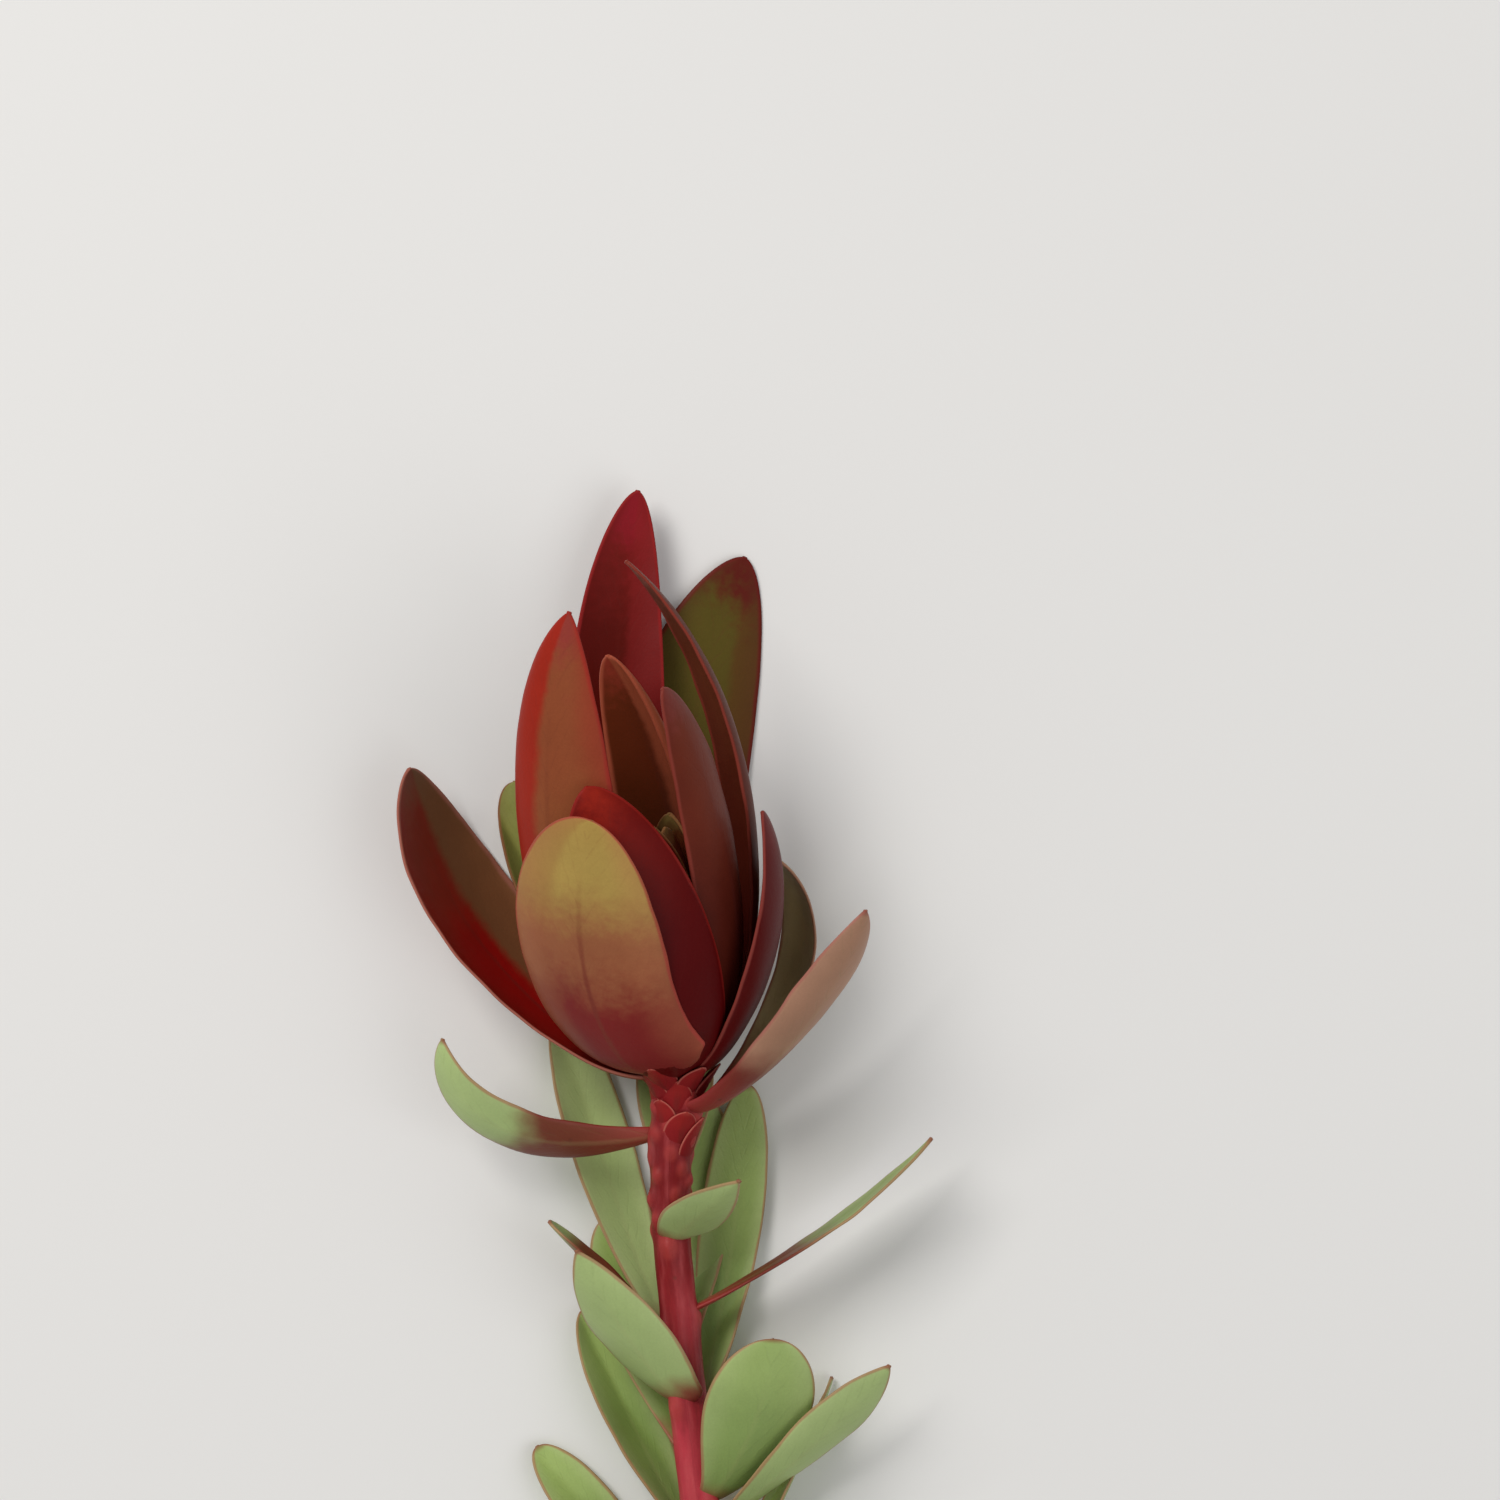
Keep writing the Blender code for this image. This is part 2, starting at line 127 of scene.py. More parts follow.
def tubeFaces(gaps, sides, closed=True):
    # faces between rings of points, and a flat face on each end
    faces = []
    for ring in range(gaps):
        for step in range(sides):
            a, b = ring * sides + step, ring * sides + (step + 1) % sides
            faces.append((a, b, b + sides, a + sides))
    if closed:
        faces.append(tuple(reversed(range(sides))))
        faces.append(tuple(range(gaps * sides, (gaps + 1) * sides)))
    return faces


# Blades: leaves and bracts share one shape, in millimetres and degrees

plainBlade = {
    "lean": (55, 38, 30),       # from the stem at the root, the middle and the tip
    "sway": (0, 0), "twist": (0, 0), "cup": 0.35, "curl": (0, 0),
    "foot": 0.20, "belly": 0.62, "point": 0.5, "layer": 0,
    "blush": 0.07,              # how far up from the root it is red
    "pale": 0.0, "warm": 0.0,   # washed-out and beige tints, 0 to 1
    "wave": 0.25,               # ripple of its margins, in mm
    "thin": 1.0,                # share of the usual thickness
}
bractShape = {"lean": (55, 15, 10), "cup": 0.7, "foot": 0.50, "belly": 0.50, "point": 0.62}
scaleShape = {"lean": (56, 4, -16), "cup": 1.05, "foot": 0.70, "belly": 0.50, "point": 0.62}


def leaf(place, turn, length, width, **more):
    return {**plainBlade, **more, "place": place, "turn": turn, "length": length, "width": width}


def bract(*sizes, **more):
    return leaf(*sizes, **{**bractShape, **more})


def scale(*sizes, **more):
    return leaf(*sizes, **{**scaleShape, **more})


build = {                                      # of every blade, in mm, shares and powers
    "thickness": 0.70, "rootThickness": 1.30, "rootShare": 0.25,
    "marginThickness": 0.42, "marginRound": 2.5, "marginBulge": 0.4,
    "ribHeight": 0.28, "ribWidth": 0.9, "ribTaper": 0.7,
    "ribInside": 0.45, "ribOutside": 0.55, "ribStart": 8,    # its share on each face
    "tipHalfWidth": 0.30, "heelShare": 0.06, "shoulder": 1.3,
    "rootBend": 0.12,                          # share of the length that the root's lean takes
    "rootCup": 1.3, "cupLoss": 0.65, "cupPower": 0.6,
    "curlFrom": 0.45, "curlGain": 6,           # across, from the rib to the margin
    "foldFrom": 0.3, "foldLength": 0.3,        # along, where the margins begin to curl
    "ripple": 0.10, "rippleLength": 9, "rippleAcross": 0.8, "rippleSeed": 7.3,
    "waveLength": 6, "waveApart": 3, "waveSeed": 5.1, "wavePower": 3, "stillRoot": 6,
    "pressBend": 1.2, "pressFar": 20,          # how softly it comes to lie on the surface
    "layerStep": 1.0, "leafClearance": 0.6,
    "restArch": 1.2, "restMiddle": -25.4, "restSpan": 22.1,
}


def blend(values, share):
    root, middle, tip = values
    return (middle + (root - middle) * exp(-share / build["rootBend"])
            + (tip - middle) * share * share)


def halfWidth(blade, share):
    belly = blade["belly"]
    if share < belly:
        grown = sin(0.5 * pi * share / belly) ** build["shoulder"]
        part = blade["foot"] + (1 - blade["foot"]) * grown
    else:
        part = max(1 - ((share - belly) / (1 - belly)) ** 2, 0.0) ** blade["point"]
    # the root's corners are rounded
    heel = 0.5 + 0.5 * sqrt(min(1.0, share / build["heelShare"]))
    return max(0.5 * blade["width"] * part * heel, build["tipHalfWidth"]) * mm


def crossSection(half, cup, curl, columns):
    # offsets sideways and towards the inner face, from the left margin to the right one
    steps = columns // 2
    sides = []
    for margin in (0, 1):
        offset, depth, walk = 0.0, 0.0, []
        for step in range(steps):
            reach = (step + 0.5) / steps
            beyond = max(0.0, reach - build["curlFrom"])
            angle = cup * reach + curl[margin] * beyond ** 2 * build["curlGain"]
            offset += cos(angle) * half / steps
            depth += sin(angle) * half / steps
            walk.append((offset, depth))
        sides.append(walk)
    left = [(-offset, depth) for offset, depth in reversed(sides[0])]
    return left + [(0.0, 0.0)] + sides[1]


def press(height, rest):
    # eases a height that would come below rest
    bend = build["pressBend"] * mm
    over = (height - rest) / bend
    if over > build["pressFar"]:
        return height
    return rest + bend * log1p(exp(over)) * (1 - exp(-exp(over)))


def leafRest(blade, spot):
    return (build["leafClearance"] + blade["layer"] * build["layerStep"]
            + 0.5 * build["thickness"]) * mm


def bractRest(blade, spot):
    # the head stands on its two sides and is a little higher between them
    offset = (spot.x - stemPath[0].x) / mm - build["restMiddle"]
    arch = build["restArch"] * (1 - (offset / build["restSpan"]) ** 4)
    return (arch + 0.5 * build["thickness"]) * mm


def bladeGrid(blade, base, depth, rule, rest, seed):
    # rows of points on the blade's middle surface, from root to tip
    length = blade["length"]
    rows, columns = rule["rows"], rule["columns"]
    middle, along = base[:2]
    out = outward(base, radians(blade["turn"]))
    across = along.cross(out)
    point = middle + out * depth
    grid, shares, share = [], [], 0.0
    for row in range(rows + 1):
        target = sin(0.5 * pi * row / rows)      # rows stand closer near the tip
        stride = target - share
        here = share + 0.5 * stride
        lean = radians(blend(blade["lean"], here))
        sway = radians(between(blade["sway"], here))
        flat = along * cos(lean) + out * sin(lean)
        heading = flat * cos(sway) + across * sin(sway)
        point = point + heading * (stride * length * mm)
        share = target
        twist = radians(between(blade["twist"], share))
        widthAxis = (across - heading * across.dot(heading)).normalized()
        widthAxis = Matrix.Rotation(twist, 3, heading) @ widthAxis
        inward = heading.cross(widthAxis)
        half = halfWidth(blade, share)
        fullness = (half / (0.5 * blade["width"] * mm)) ** build["cupPower"]
        cup = blade["cup"] * (build["rootCup"] - build["cupLoss"] * share) * fullness
        fold = min(max((share - build["foldFrom"]) / build["foldLength"], 0.0), 1.0)
        curl = [margin * fold * fullness for margin in blade["curl"]]
        line = []
        for column, (offset, rise) in enumerate(crossSection(half, cup, curl, columns)):
            reach = 2 * column / columns - 1
            spot = point + widthAxis * offset + inward * rise
            wander = noise.noise(Vector((
                share * length / build["rippleLength"], reach * build["rippleAcross"],
                seed * build["rippleSeed"])))
            flutter = noise.noise(Vector((
                share * length / build["waveLength"], copysign(build["waveApart"], reach),
                seed * build["waveSeed"])))
            lift = (build["ripple"] * wander
                    + blade["wave"] * flutter * abs(reach) ** build["wavePower"])
            spot += inward * (lift * mm * min(1.0, share * build["stillRoot"]) * fullness)
            spot.z = press(spot.z, rest(blade, spot))
            line.append(spot)
        grid.append(line)
        shares.append(share)
    return grid, shares


def gridNormals(grid):
    normals = []
    last, edge = len(grid) - 1, len(grid[0]) - 1
    for row in range(last + 1):
        normals.append([
            (grid[min(row + 1, last)][column] - grid[max(row - 1, 0)][column]).cross(
                grid[row][min(column + 1, edge)] - grid[row][max(column - 1, 0)]).normalized()
            for column in range(edge + 1)])
    return normals


bladeMarks = ("along", "across", "rim", "inner", "sideways", "upward", "blush", "pale", "warm", "seed")


def newStore(labels=bladeMarks):
    # a mesh in the making, with a mark of each label at every point for its material
    return {"points": [], "faces": [], "marks": {label: [] for label in labels}}


def put(store, point, *values):
    store["points"].append(point)
    for numbers, value in zip(store["marks"].values(), values):
        numbers.append(value)


def gridCells(rows, columns, start):
    # the corners of each cell of a grid whose first point is start
    width = columns + 1
    for row in range(rows):
        for column in range(columns):
            corner = start + row * width + column
            yield corner, corner + 1, corner + width + 1, corner + width


def gridEdge(rows, columns):
    # the grid's places along the root, the right margin, the tip and the left margin
    return ([(0, column) for column in range(columns + 1)]
            + [(row, columns) for row in range(1, rows + 1)]
            + [(rows, column) for column in range(columns - 1, -1, -1)]
            + [(row, 0) for row in range(rows - 1, 0, -1)])


def addBlade(store, blade, base, depth, rule, rest, seed):
    # a closed blade with round margins and a rib; its marks are kept for the material
    rows, columns = rule["rows"], rule["columns"]
    grid, shares = bladeGrid(blade, base, depth, rule, rest, seed)
    normals = gridNormals(grid)
    margin = build["marginThickness"] * blade["thin"]
    start = len(store["points"])
    faces = store["faces"]

    def add(point, share, reach, half, inner):
        put(store, point, share, reach, (1 - abs(reach)) * half / mm, inner, reach * half / mm,
            share * blade["length"], blade["blush"], blade["pale"], blade["warm"], seed)

    width = columns + 1
    for inner in (1, 0):
        for row, share in enumerate(shares):
            half = halfWidth(blade, share)
            root = max(0.0, 1 - share / build["rootShare"])
            body = between((build["thickness"], build["rootThickness"]), root) * blade["thin"]
            rim = min(margin, body)
            for column in range(width):
                reach = 2 * column / columns - 1
                thick = rim + (body - rim) * (1 - abs(reach) ** build["marginRound"])
                fromRib = reach * half / mm / build["ribWidth"]
                rib = (exp(-fromRib * fromRib) * build["ribHeight"]
                       * (1 - share) ** build["ribTaper"] * blade["thin"])
                if inner:
                    shift = 0.5 * thick - build["ribInside"] * rib
                else:
                    grown = min(1, share * build["ribStart"])
                    shift = -0.5 * thick - build["ribOutside"] * rib * grown
                add(grid[row][column] + normals[row][column] * (shift * mm), share, reach, half, inner)
    count = len(shares) * width
    for a, b, c, d in gridCells(rows, columns, start):
        faces.append((a, d, c, b))
        faces.append((a + count, b + count, c + count, d + count))
    lip = len(store["points"])
    edge = gridEdge(rows, columns)
    for row, column in edge:
        middle = grid[row][column]
        inside = grid[min(max(row, 1), rows - 1)][min(max(column, 1), columns - 1)]
        away = middle - inside
        away -= normals[row][column] * away.dot(normals[row][column])
        bulge = away.normalized() * (build["marginBulge"] * margin * mm) if away.length else away
        reach = 2 * column / columns - 1
        add(middle + bulge, shares[row], reach, halfWidth(blade, shares[row]), 0.5)
    ring = [start + row * width + column for row, column in edge]
    for step, (here, there) in enumerate(zip(ring, ring[1:] + ring[:1])):
        after = (step + 1) % len(ring)
        faces.append((here, there, lip + after, lip + step))
        faces.append((lip + step, lip + after, there + count, here + count))


def newObject(name, data):
    piece = bpy.data.objects.new(name, data)
    bpy.context.scene.collection.objects.link(piece)
    return piece


def newPiece(name, store):
    mesh = bpy.data.meshes.new(name)
    mesh.from_pydata([tuple(point) for point in store["points"]], [], store["faces"])
    for label, numbers in store["marks"].items():
        mesh.attributes.new(label, "FLOAT", "POINT").data.foreach_set("value", numbers)
    shell = bmesh.new()
    shell.from_mesh(mesh)
    bmesh.ops.recalc_face_normals(shell, faces=shell.faces)
    shell.to_mesh(mesh)
    shell.free()
    mesh.shade_smooth()
    return newObject(name, mesh)


def standFor(piece, node, material):
    piece.data.materials.append(material)
    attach(piece, "root")
    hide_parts(node)


# Colours and shader groups

grey = (0.5, 0.5, 0.5, 1)


def tone(colour):
    # a colour as a screen shows it, made linear
    return tuple(((value / 255 + 0.055) / 1.055) ** 2.4 if value > 10 else value / 3294.6
                 for value in colour) + (1.0,)


def newGroup(name, inputs, outputs):
    # inputs with their usual values, a colour as four numbers; names of the outputs
    group = bpy.data.node_groups.new(name, "ShaderNodeTree")
    for label, value in inputs.items():
        kind = "NodeSocketColor" if isinstance(value, tuple) else "NodeSocketFloat"
        socket = group.interface.new_socket(name=label, in_out="INPUT", socket_type=kind)
        socket.default_value = value
    for label in outputs:
        kind = "NodeSocketColor" if label == "Colour" else "NodeSocketFloat"
        group.interface.new_socket(name=label, in_out="OUTPUT", socket_type=kind)
    given, result = group.nodes.new("NodeGroupInput"), group.nodes.new("NodeGroupOutput")
    return group, given.outputs, result.inputs


def feed(tree, socket, value):
    if isinstance(value, bpy.types.NodeSocket):
        tree.links.new(value, socket)
    else:
        socket.default_value = value


def maths(tree, operation, first, second=0.0, third=0.0):
    node = tree.nodes.new("ShaderNodeMath")
    node.operation = operation
    for socket, value in zip(node.inputs, (first, second, third)):
        feed(tree, socket, value)
    return node.outputs[0]


def times(tree, value, *others):
    for other in others:
        value = maths(tree, "MULTIPLY", value, other)
    return value


def plus(tree, value, *others):
    for other in others:
        value = maths(tree, "ADD", value, other)
    return value


def less(tree, first, second):
    return maths(tree, "SUBTRACT", first, second)


def timesPlus(tree, first, second, third):
    return maths(tree, "MULTIPLY_ADD", first, second, third)


def overlay(tree, colour, *layers):
    # colours laid over the first one, each with its amount
    for amount, over in layers:
        node = tree.nodes.new("ShaderNodeMix")
        node.data_type = "RGBA"
        for label, value in (("Factor", amount), ("A", colour), ("B", over)):
            feed(tree, node.inputs[label], value)
        colour = node.outputs["Result"]
    return colour


def ramp(tree, value, low, high, toLow=0.0, toHigh=1.0):
    node = tree.nodes.new("ShaderNodeMapRange")
    node.interpolation_type = "SMOOTHSTEP"
    for socket, number in zip(node.inputs, (value, low, high, toLow, toHigh)):
        feed(tree, socket, number)
    return node.outputs[0]


def mark(tree, name):
    node = tree.nodes.new("ShaderNodeAttribute")
    node.attribute_name = name
    return node.outputs["Fac"]


def mottle(tree, size, detail=3.0, vector=None):
    # noise; its size is how many times it changes in a metre
    node = tree.nodes.new("ShaderNodeTexNoise")
    node.inputs["Scale"].default_value = size
    node.inputs["Detail"].default_value = detail
    place = vector or tree.nodes.new("ShaderNodeTexCoord").outputs["Object"]
    tree.links.new(place, node.inputs["Vector"])
    return node.outputs[0]


veinLook = {
    "spacing": 1.9, "slant": 0.42, "wander": 1.6, "wanderNoise": 260,      # mm
    "lineWidth": 0.16, "breakNoise": 420, "breaks": (0.35, 0.62),
    "reach": (0.0, 6.0, 1.0, 0.35),                # fainter away from the rib
    "rib": (0.1, 0.75, 1.0, 0.0), "ribWander": 0.35, "ribFade": (0.35, 0.9, 1.0, 0.0),
}


def veinGroup():
    # lines that leave the rib at a sharp angle, faint and broken, and the rib itself
    look = veinLook
    group, given, result = newGroup(
        "bladeVeins", {"Spacing": look["spacing"], "Slant": look["slant"]}, ("Veins", "Rib"))
    aside = maths(group, "ABSOLUTE", mark(group, "sideways"))
    wander = timesPlus(group, mottle(group, look["wanderNoise"]), look["wander"], -look["wander"] / 2)
    climb = times(group, mark(group, "upward"), given["Slant"])
    phase = plus(group, less(group, climb, aside), wander)
    phase = maths(group, "FRACT", maths(group, "DIVIDE", phase, given["Spacing"]))
    wave = maths(group, "ABSOLUTE", less(group, phase, 0.5))
    lines = ramp(group, wave, 0.0, look["lineWidth"], 1.0, 0.0)
    broken = ramp(group, mottle(group, look["breakNoise"]), *look["breaks"])
    nearRib = ramp(group, aside, *look["reach"])
    feed(group, result["Veins"], times(group, lines, broken, nearRib))
    rib = ramp(group, plus(group, aside, times(group, wander, look["ribWander"])), *look["rib"])
    feed(group, result["Rib"], times(group, rib, ramp(group, mark(group, "along"), *look["ribFade"])))
    return group


skinLook = {
    "blotches": (110, 4.0), "pores": (2600, 2.0), "poreAmount": 0.14,      # noise: size, detail
    "specks": 210, "speckEdge": (0.05, 0.13, 1.0, 0.0), "speckTone": (74, 46, 30),
    "patches": 75, "patchEdge": (0.60, 0.70),      # specks show only in these patches
    "roughness": 0.30, "roughNoise": 0.14, "blotchRelief": 0.5, "poreRelief": 0.35, "bump": 0.8,
}


def skinGroup():
    # waxy plant skin: blotches, fine pores and a few dead specks
    look = skinLook
    group, given, result = newGroup("plantSkin", {"Colour": grey, "Blotch": 0.3, "Specks": 0.6},
                                    ("Colour", "Roughness", "Height"))
    broad = mottle(group, *look["blotches"])
    fine = mottle(group, *look["pores"])
    blotch = times(group, less(group, broad, 0.5), given["Blotch"])
    pores = times(group, less(group, fine, 0.5), look["poreAmount"])
    shaded = group.nodes.new("ShaderNodeVectorMath")
    shaded.operation = "SCALE"
    feed(group, shaded.inputs[0], given["Colour"])
    feed(group, shaded.inputs["Scale"], plus(group, blotch, pores, 1.0))
    cells = group.nodes.new("ShaderNodeTexVoronoi")
    cells.inputs["Scale"].default_value = look["specks"]
    group.links.new(group.nodes.new("ShaderNodeTexCoord").outputs["Object"], cells.inputs["Vector"])
    chosen = ramp(group, mottle(group, look["patches"]), *look["patchEdge"])
    speck = times(group, ramp(group, cells.outputs["Distance"], *look["speckEdge"]), chosen,
                  given["Specks"])
    feed(group, result["Colour"], overlay(group, shaded.outputs[0], (speck, tone(look["speckTone"]))))
    rough = timesPlus(group, plus(group, broad, fine), look["roughNoise"], look["roughness"])
    feed(group, result["Roughness"], rough)
    relief = timesPlus(group, fine, look["poreRelief"], times(group, broad, look["blotchRelief"]))
    feed(group, result["Height"], less(group, relief, speck))
    return group


bladeParts = ("Foot", "Belly", "Top", "Tip", "Rim", "Flank", "Back", "Side")
bladeLook = {
    "Rim Width": 0.55, "Flank Amount": 0.45, "Back Amount": 0.6,
    "Foot Place": 0.04, "Belly Place": 0.42, "Top Place": 0.74,      # shares of the length
    "Side Amount": 0.0, "Side Reach": 0.0,                           # a colour of its left side
}
blushLook = {
    "clouds": 95, "cloudDrift": 0.24, "streaks": (700, 2.0), "streakDrift": 0.10,
    "tip": (0.86, 1.0), "flank": (0.35, 1.0), "side": (-0.10, 0.14),
    "rimCloud": 0.9, "rimCore": 0.15, "rimStrength": 0.8,
}


def blushGroup():
    # a blade's colours from root to tip, with its thin red rim and its other face
    look = blushLook
    group, given, result = newGroup("bladeBlush", {**dict.fromkeys(bladeParts, grey), **bladeLook},
                                    ("Colour",))
    cloud = less(group, mottle(group, look["clouds"]), 0.5)
    streak = less(group, mottle(group, *look["streaks"]), 0.5)
    drift = plus(group, times(group, cloud, look["cloudDrift"]),
                 times(group, streak, look["streakDrift"]))
    height = plus(group, mark(group, "along"), drift)
    beside = plus(group, maths(group, "ABSOLUTE", mark(group, "across")), drift)
    flank = ramp(group, beside, *look["flank"])
    leftward = less(group, drift, mark(group, "across"))
    side = ramp(group, less(group, leftward, given["Side Reach"]), *look["side"])
    edge = plus(group, mark(group, "rim"), times(group, cloud, look["rimCloud"]))
    rimCore = times(group, given["Rim Width"], look["rimCore"])
    amounts = {
        "Belly": ramp(group, height, given["Foot Place"], given["Belly Place"]),
        "Top": ramp(group, height, given["Belly Place"], given["Top Place"]),
        "Tip": ramp(group, height, *look["tip"]),
        "Flank": times(group, flank, given["Flank Amount"]),
        "Side": times(group, side, given["Side Amount"]),
        "Back": times(group, less(group, 1.0, mark(group, "inner")), given["Back Amount"]),
        "Rim": ramp(group, edge, rimCore, given["Rim Width"], look["rimStrength"], 0.0),
    }
    layers = [(amount, given[part]) for part, amount in amounts.items()]
    feed(group, result["Colour"], overlay(group, given["Foot"], *layers))
    return group


barkLook = {
    "streaks": (1.7, 4.0), "streakLength": 0.055, "clouds": 70, "cloudDrift": 0.12,
    # high: where the stem turns to its darker High colour near the head, partly painted shade under the
    # head
    "high": (0.78, 0.93), "woody": (-0.1, 0.62, 0.85, 0.0),          # along the stem
    "paleStreak": (0.42, 0.75, 0.0, 0.36), "paleTone": (206, 96, 98),
    "darkStreak": (0.25, 0.46, 0.34, 0.0), "darkTone": (96, 24, 28),
    "swelling": (0.12, 0.7, 0.0, 0.6), "scarTone": (122, 84, 62),
    "streakRelief": 0.6, "cloudRelief": 0.4,
}


def barkGroup():
    # young stem skin: long streaks, paler where it swells under a leaf
    look = barkLook
    group, given, result = newGroup(
        "stemSkin", dict.fromkeys(("Low", "High", "Swelling", "Woody"), grey), ("Colour", "Height"))
    place = group.nodes.new("ShaderNodeCombineXYZ")
    feed(group, place.inputs[0], mark(group, "around"))
    feed(group, place.inputs[1], times(group, mark(group, "upward"), look["streakLength"]))
    streaks = mottle(group, *look["streaks"], place.outputs[0])
    cloud = mottle(group, look["clouds"])
    drift = timesPlus(group, cloud, look["cloudDrift"], -look["cloudDrift"] / 2)
    height = plus(group, mark(group, "along"), drift)
    feed(group, result["Colour"], overlay(
        group, given["Low"],
        # the darker colour near the head is partly painted shade under the head
        (ramp(group, height, *look["high"]), given["High"]),
        (ramp(group, height, *look["woody"]), given["Woody"]),
        (ramp(group, streaks, *look["paleStreak"]), tone(look["paleTone"])),
        (ramp(group, streaks, *look["darkStreak"]), tone(look["darkTone"])),
        (ramp(group, mark(group, "knob"), *look["swelling"]), given["Swelling"]),
        (mark(group, "scar"), tone(look["scarTone"]))))
    feed(group, result["Height"],
         timesPlus(group, streaks, look["streakRelief"], times(group, cloud, look["cloudRelief"])))
    return group


veins, skin, blush, stemSkin = veinGroup(), skinGroup(), blushGroup(), barkGroup()
print("shader groups built")


def useGroup(tree, group, values):
    node = tree.nodes.new("ShaderNodeGroup")
    node.node_tree = group
    for label, value in values.items():
        feed(tree, node.inputs[label], value)
    return node.outputs


def newMaterial(name, shine=0.3):
    material = bpy.data.materials.new(name)
    material.use_nodes = True
    shader = material.node_tree.nodes["Principled BSDF"]
    shader.inputs["Specular IOR Level"].default_value = shine
    return material, material.node_tree, shader


def finishSkin(tree, shader, colour, relief, depth, blotch=0.3, specks=0.6):
    # the skin's own blotches and pores over a colour and a relief, depth in mm
    skinned = useGroup(tree, skin, {"Colour": colour, "Blotch": blotch, "Specks": specks})
    feed(tree, shader.inputs["Base Color"], skinned["Colour"])
    feed(tree, shader.inputs["Roughness"], skinned["Roughness"])
    bump = tree.nodes.new("ShaderNodeBump")
    bump.inputs["Distance"].default_value = depth * mm
    bump.inputs["Strength"].default_value = skinLook["bump"]
    feed(tree, bump.inputs["Height"], plus(tree, skinned["Height"], relief))
    tree.links.new(bump.outputs["Normal"], shader.inputs["Normal"])


def finishBlade(tree, shader, colour, look):
    # rib and veins over a blade's colours, and its skin
    veined = useGroup(tree, veins, {})
    colour = overlay(tree, colour,
                     (times(tree, veined["Rib"], look["ribAmount"]), tone(look["ribTone"])),
                     (times(tree, veined["Veins"], look["veinAmount"]), tone(look["veinTone"])))
    finishSkin(tree, shader, colour, times(tree, veined["Veins"], look["veinRelief"]), look["depth"])


bractLines = {"ribTone": (96, 40, 34), "ribAmount": 0.35, "veinAmount": 0.12, "veinRelief": -0.2,
              "depth": 0.08, "shine": 0.08}


def bladeMaterial(name, colours, finish):
    # its colours are in the order of bladeParts
    look = {**bladeLook, **bractLines, **finish}
    material, tree, shader = newMaterial(name, look["shine"])
    values = {label: tone(colour) for label, colour in zip(bladeParts, colours)}
    values.update({label: look[label] for label in bladeLook})
    colour = useGroup(tree, blush, values)["Colour"]
    finishBlade(tree, shader, colour, {**look, "veinTone": look["ribTone"]})
    return material


# The woody stem, with a cushion under each leaf and scars where leaves were

upperLeaves = [
    leaf(5, 127, 57, 10, lean=(86, 50, -60), cup=0.7, blush=0.30, pale=0.8, warm=0.5),
    leaf(4, 70, 51, 13, lean=(88, 42, 12), twist=(-10, -30), cup=0.8, foot=0.6, point=0.8, blush=0.34,
         pale=0.9, warm=0.8),
    leaf(8, 275, 47, 11, lean=(106, 104, 2), twist=(70, 40), cup=0.3, point=0.8, blush=0.52, pale=0.9),
    leaf(18, 184, 31, 13, lean=(50, 30, 22), sway=(-4, -4)),
    leaf(26, 346, 26, 10, lean=(70, 50, 40), sway=(34, 44), foot=0.5, belly=0.35, point=1.0, pale=0.9),
    leaf(44, 222, 60, 14, lean=(50, 20, 12), layer=1, pale=0.8),
    leaf(39, 90, 51, 9, lean=(72, 66, 46), cup=0.15, point=0.8, blush=0.45),
    leaf(42, 268, 28, 8, lean=(55, 44, 36), cup=0.6, blush=0.8),
    leaf(46, 165, 48, 14, lean=(50, 34, 24)),
    leaf(54, 314, 36, 15, lean=(50, 36, 26), twist=(0, 30), foot=0.75, belly=0.35, point=0.9, pale=0.9),
    leaf(58, 145, 60, 13, lean=(46, 28, 14), layer=2),
    leaf(64, 205, 46, 15, lean=(45, 30, 24)),
    leaf(71, 52, 34, 18, lean=(66, 40, 12), twist=(-30, -50), cup=0.25),
    leaf(76, 74, 43, 11, lean=(60, 56, 46), twist=(-20, -50), point=0.8, pale=0.9),
    leaf(78, 235, 44, 16, lean=(45, 26, 16), layer=1),
]
leafRule = {
    "seed": 11, "step": 9.8, "length": 43, "width": 15, "firstTurn": 112,
    "lengthVary": (0.88, 1.12), "widthVary": (0.88, 1.1), "stepVary": (0.92, 1.08),
    "lean": ((50, 60), (32, 44), (20, 36)), "sway": 10, "twist": 35, "cup": (0.2, 0.45),
    "clearOfBelow": 48, "spread": 0.3,         # degrees kept free beside straight down
    "layers": 3, "rows": 56, "columns": 16,
    "rootDepth": 0.35,                         # share of the stem's radius
}


def lowerLeaves():
    # one leaf every step down the stem, each a turn of the spiral on
    rule, draw = leafRule, random.Random(leafRule["seed"])
    leaves = []
    place = max(blade["place"] for blade in upperLeaves) + rule["step"]
    turn = rule["firstTurn"]
    while place < (stem["length"] - stem["bareLength"]) / mm:
        fromBelow = (turn % 360) - 180
        if abs(fromBelow) < rule["clearOfBelow"]:
            fromBelow = copysign(rule["clearOfBelow"] + rule["spread"] * abs(fromBelow), fromBelow)
        leaves.append(leaf(
            place, 180 + fromBelow, rule["length"] * draw.uniform(*rule["lengthVary"]),
            rule["width"] * draw.uniform(*rule["widthVary"]),
            lean=tuple(draw.uniform(*ends) for ends in rule["lean"]),
            sway=(0, draw.uniform(-rule["sway"], rule["sway"])),
            twist=(0, draw.uniform(-rule["twist"], rule["twist"])),
            cup=draw.uniform(*rule["cup"]), layer=len(leaves) % rule["layers"]))
        place += rule["step"] * draw.uniform(*rule["stepVary"])
        turn += stem["spiralTurn"]
    return leaves


allLeaves = upperLeaves + lowerLeaves()

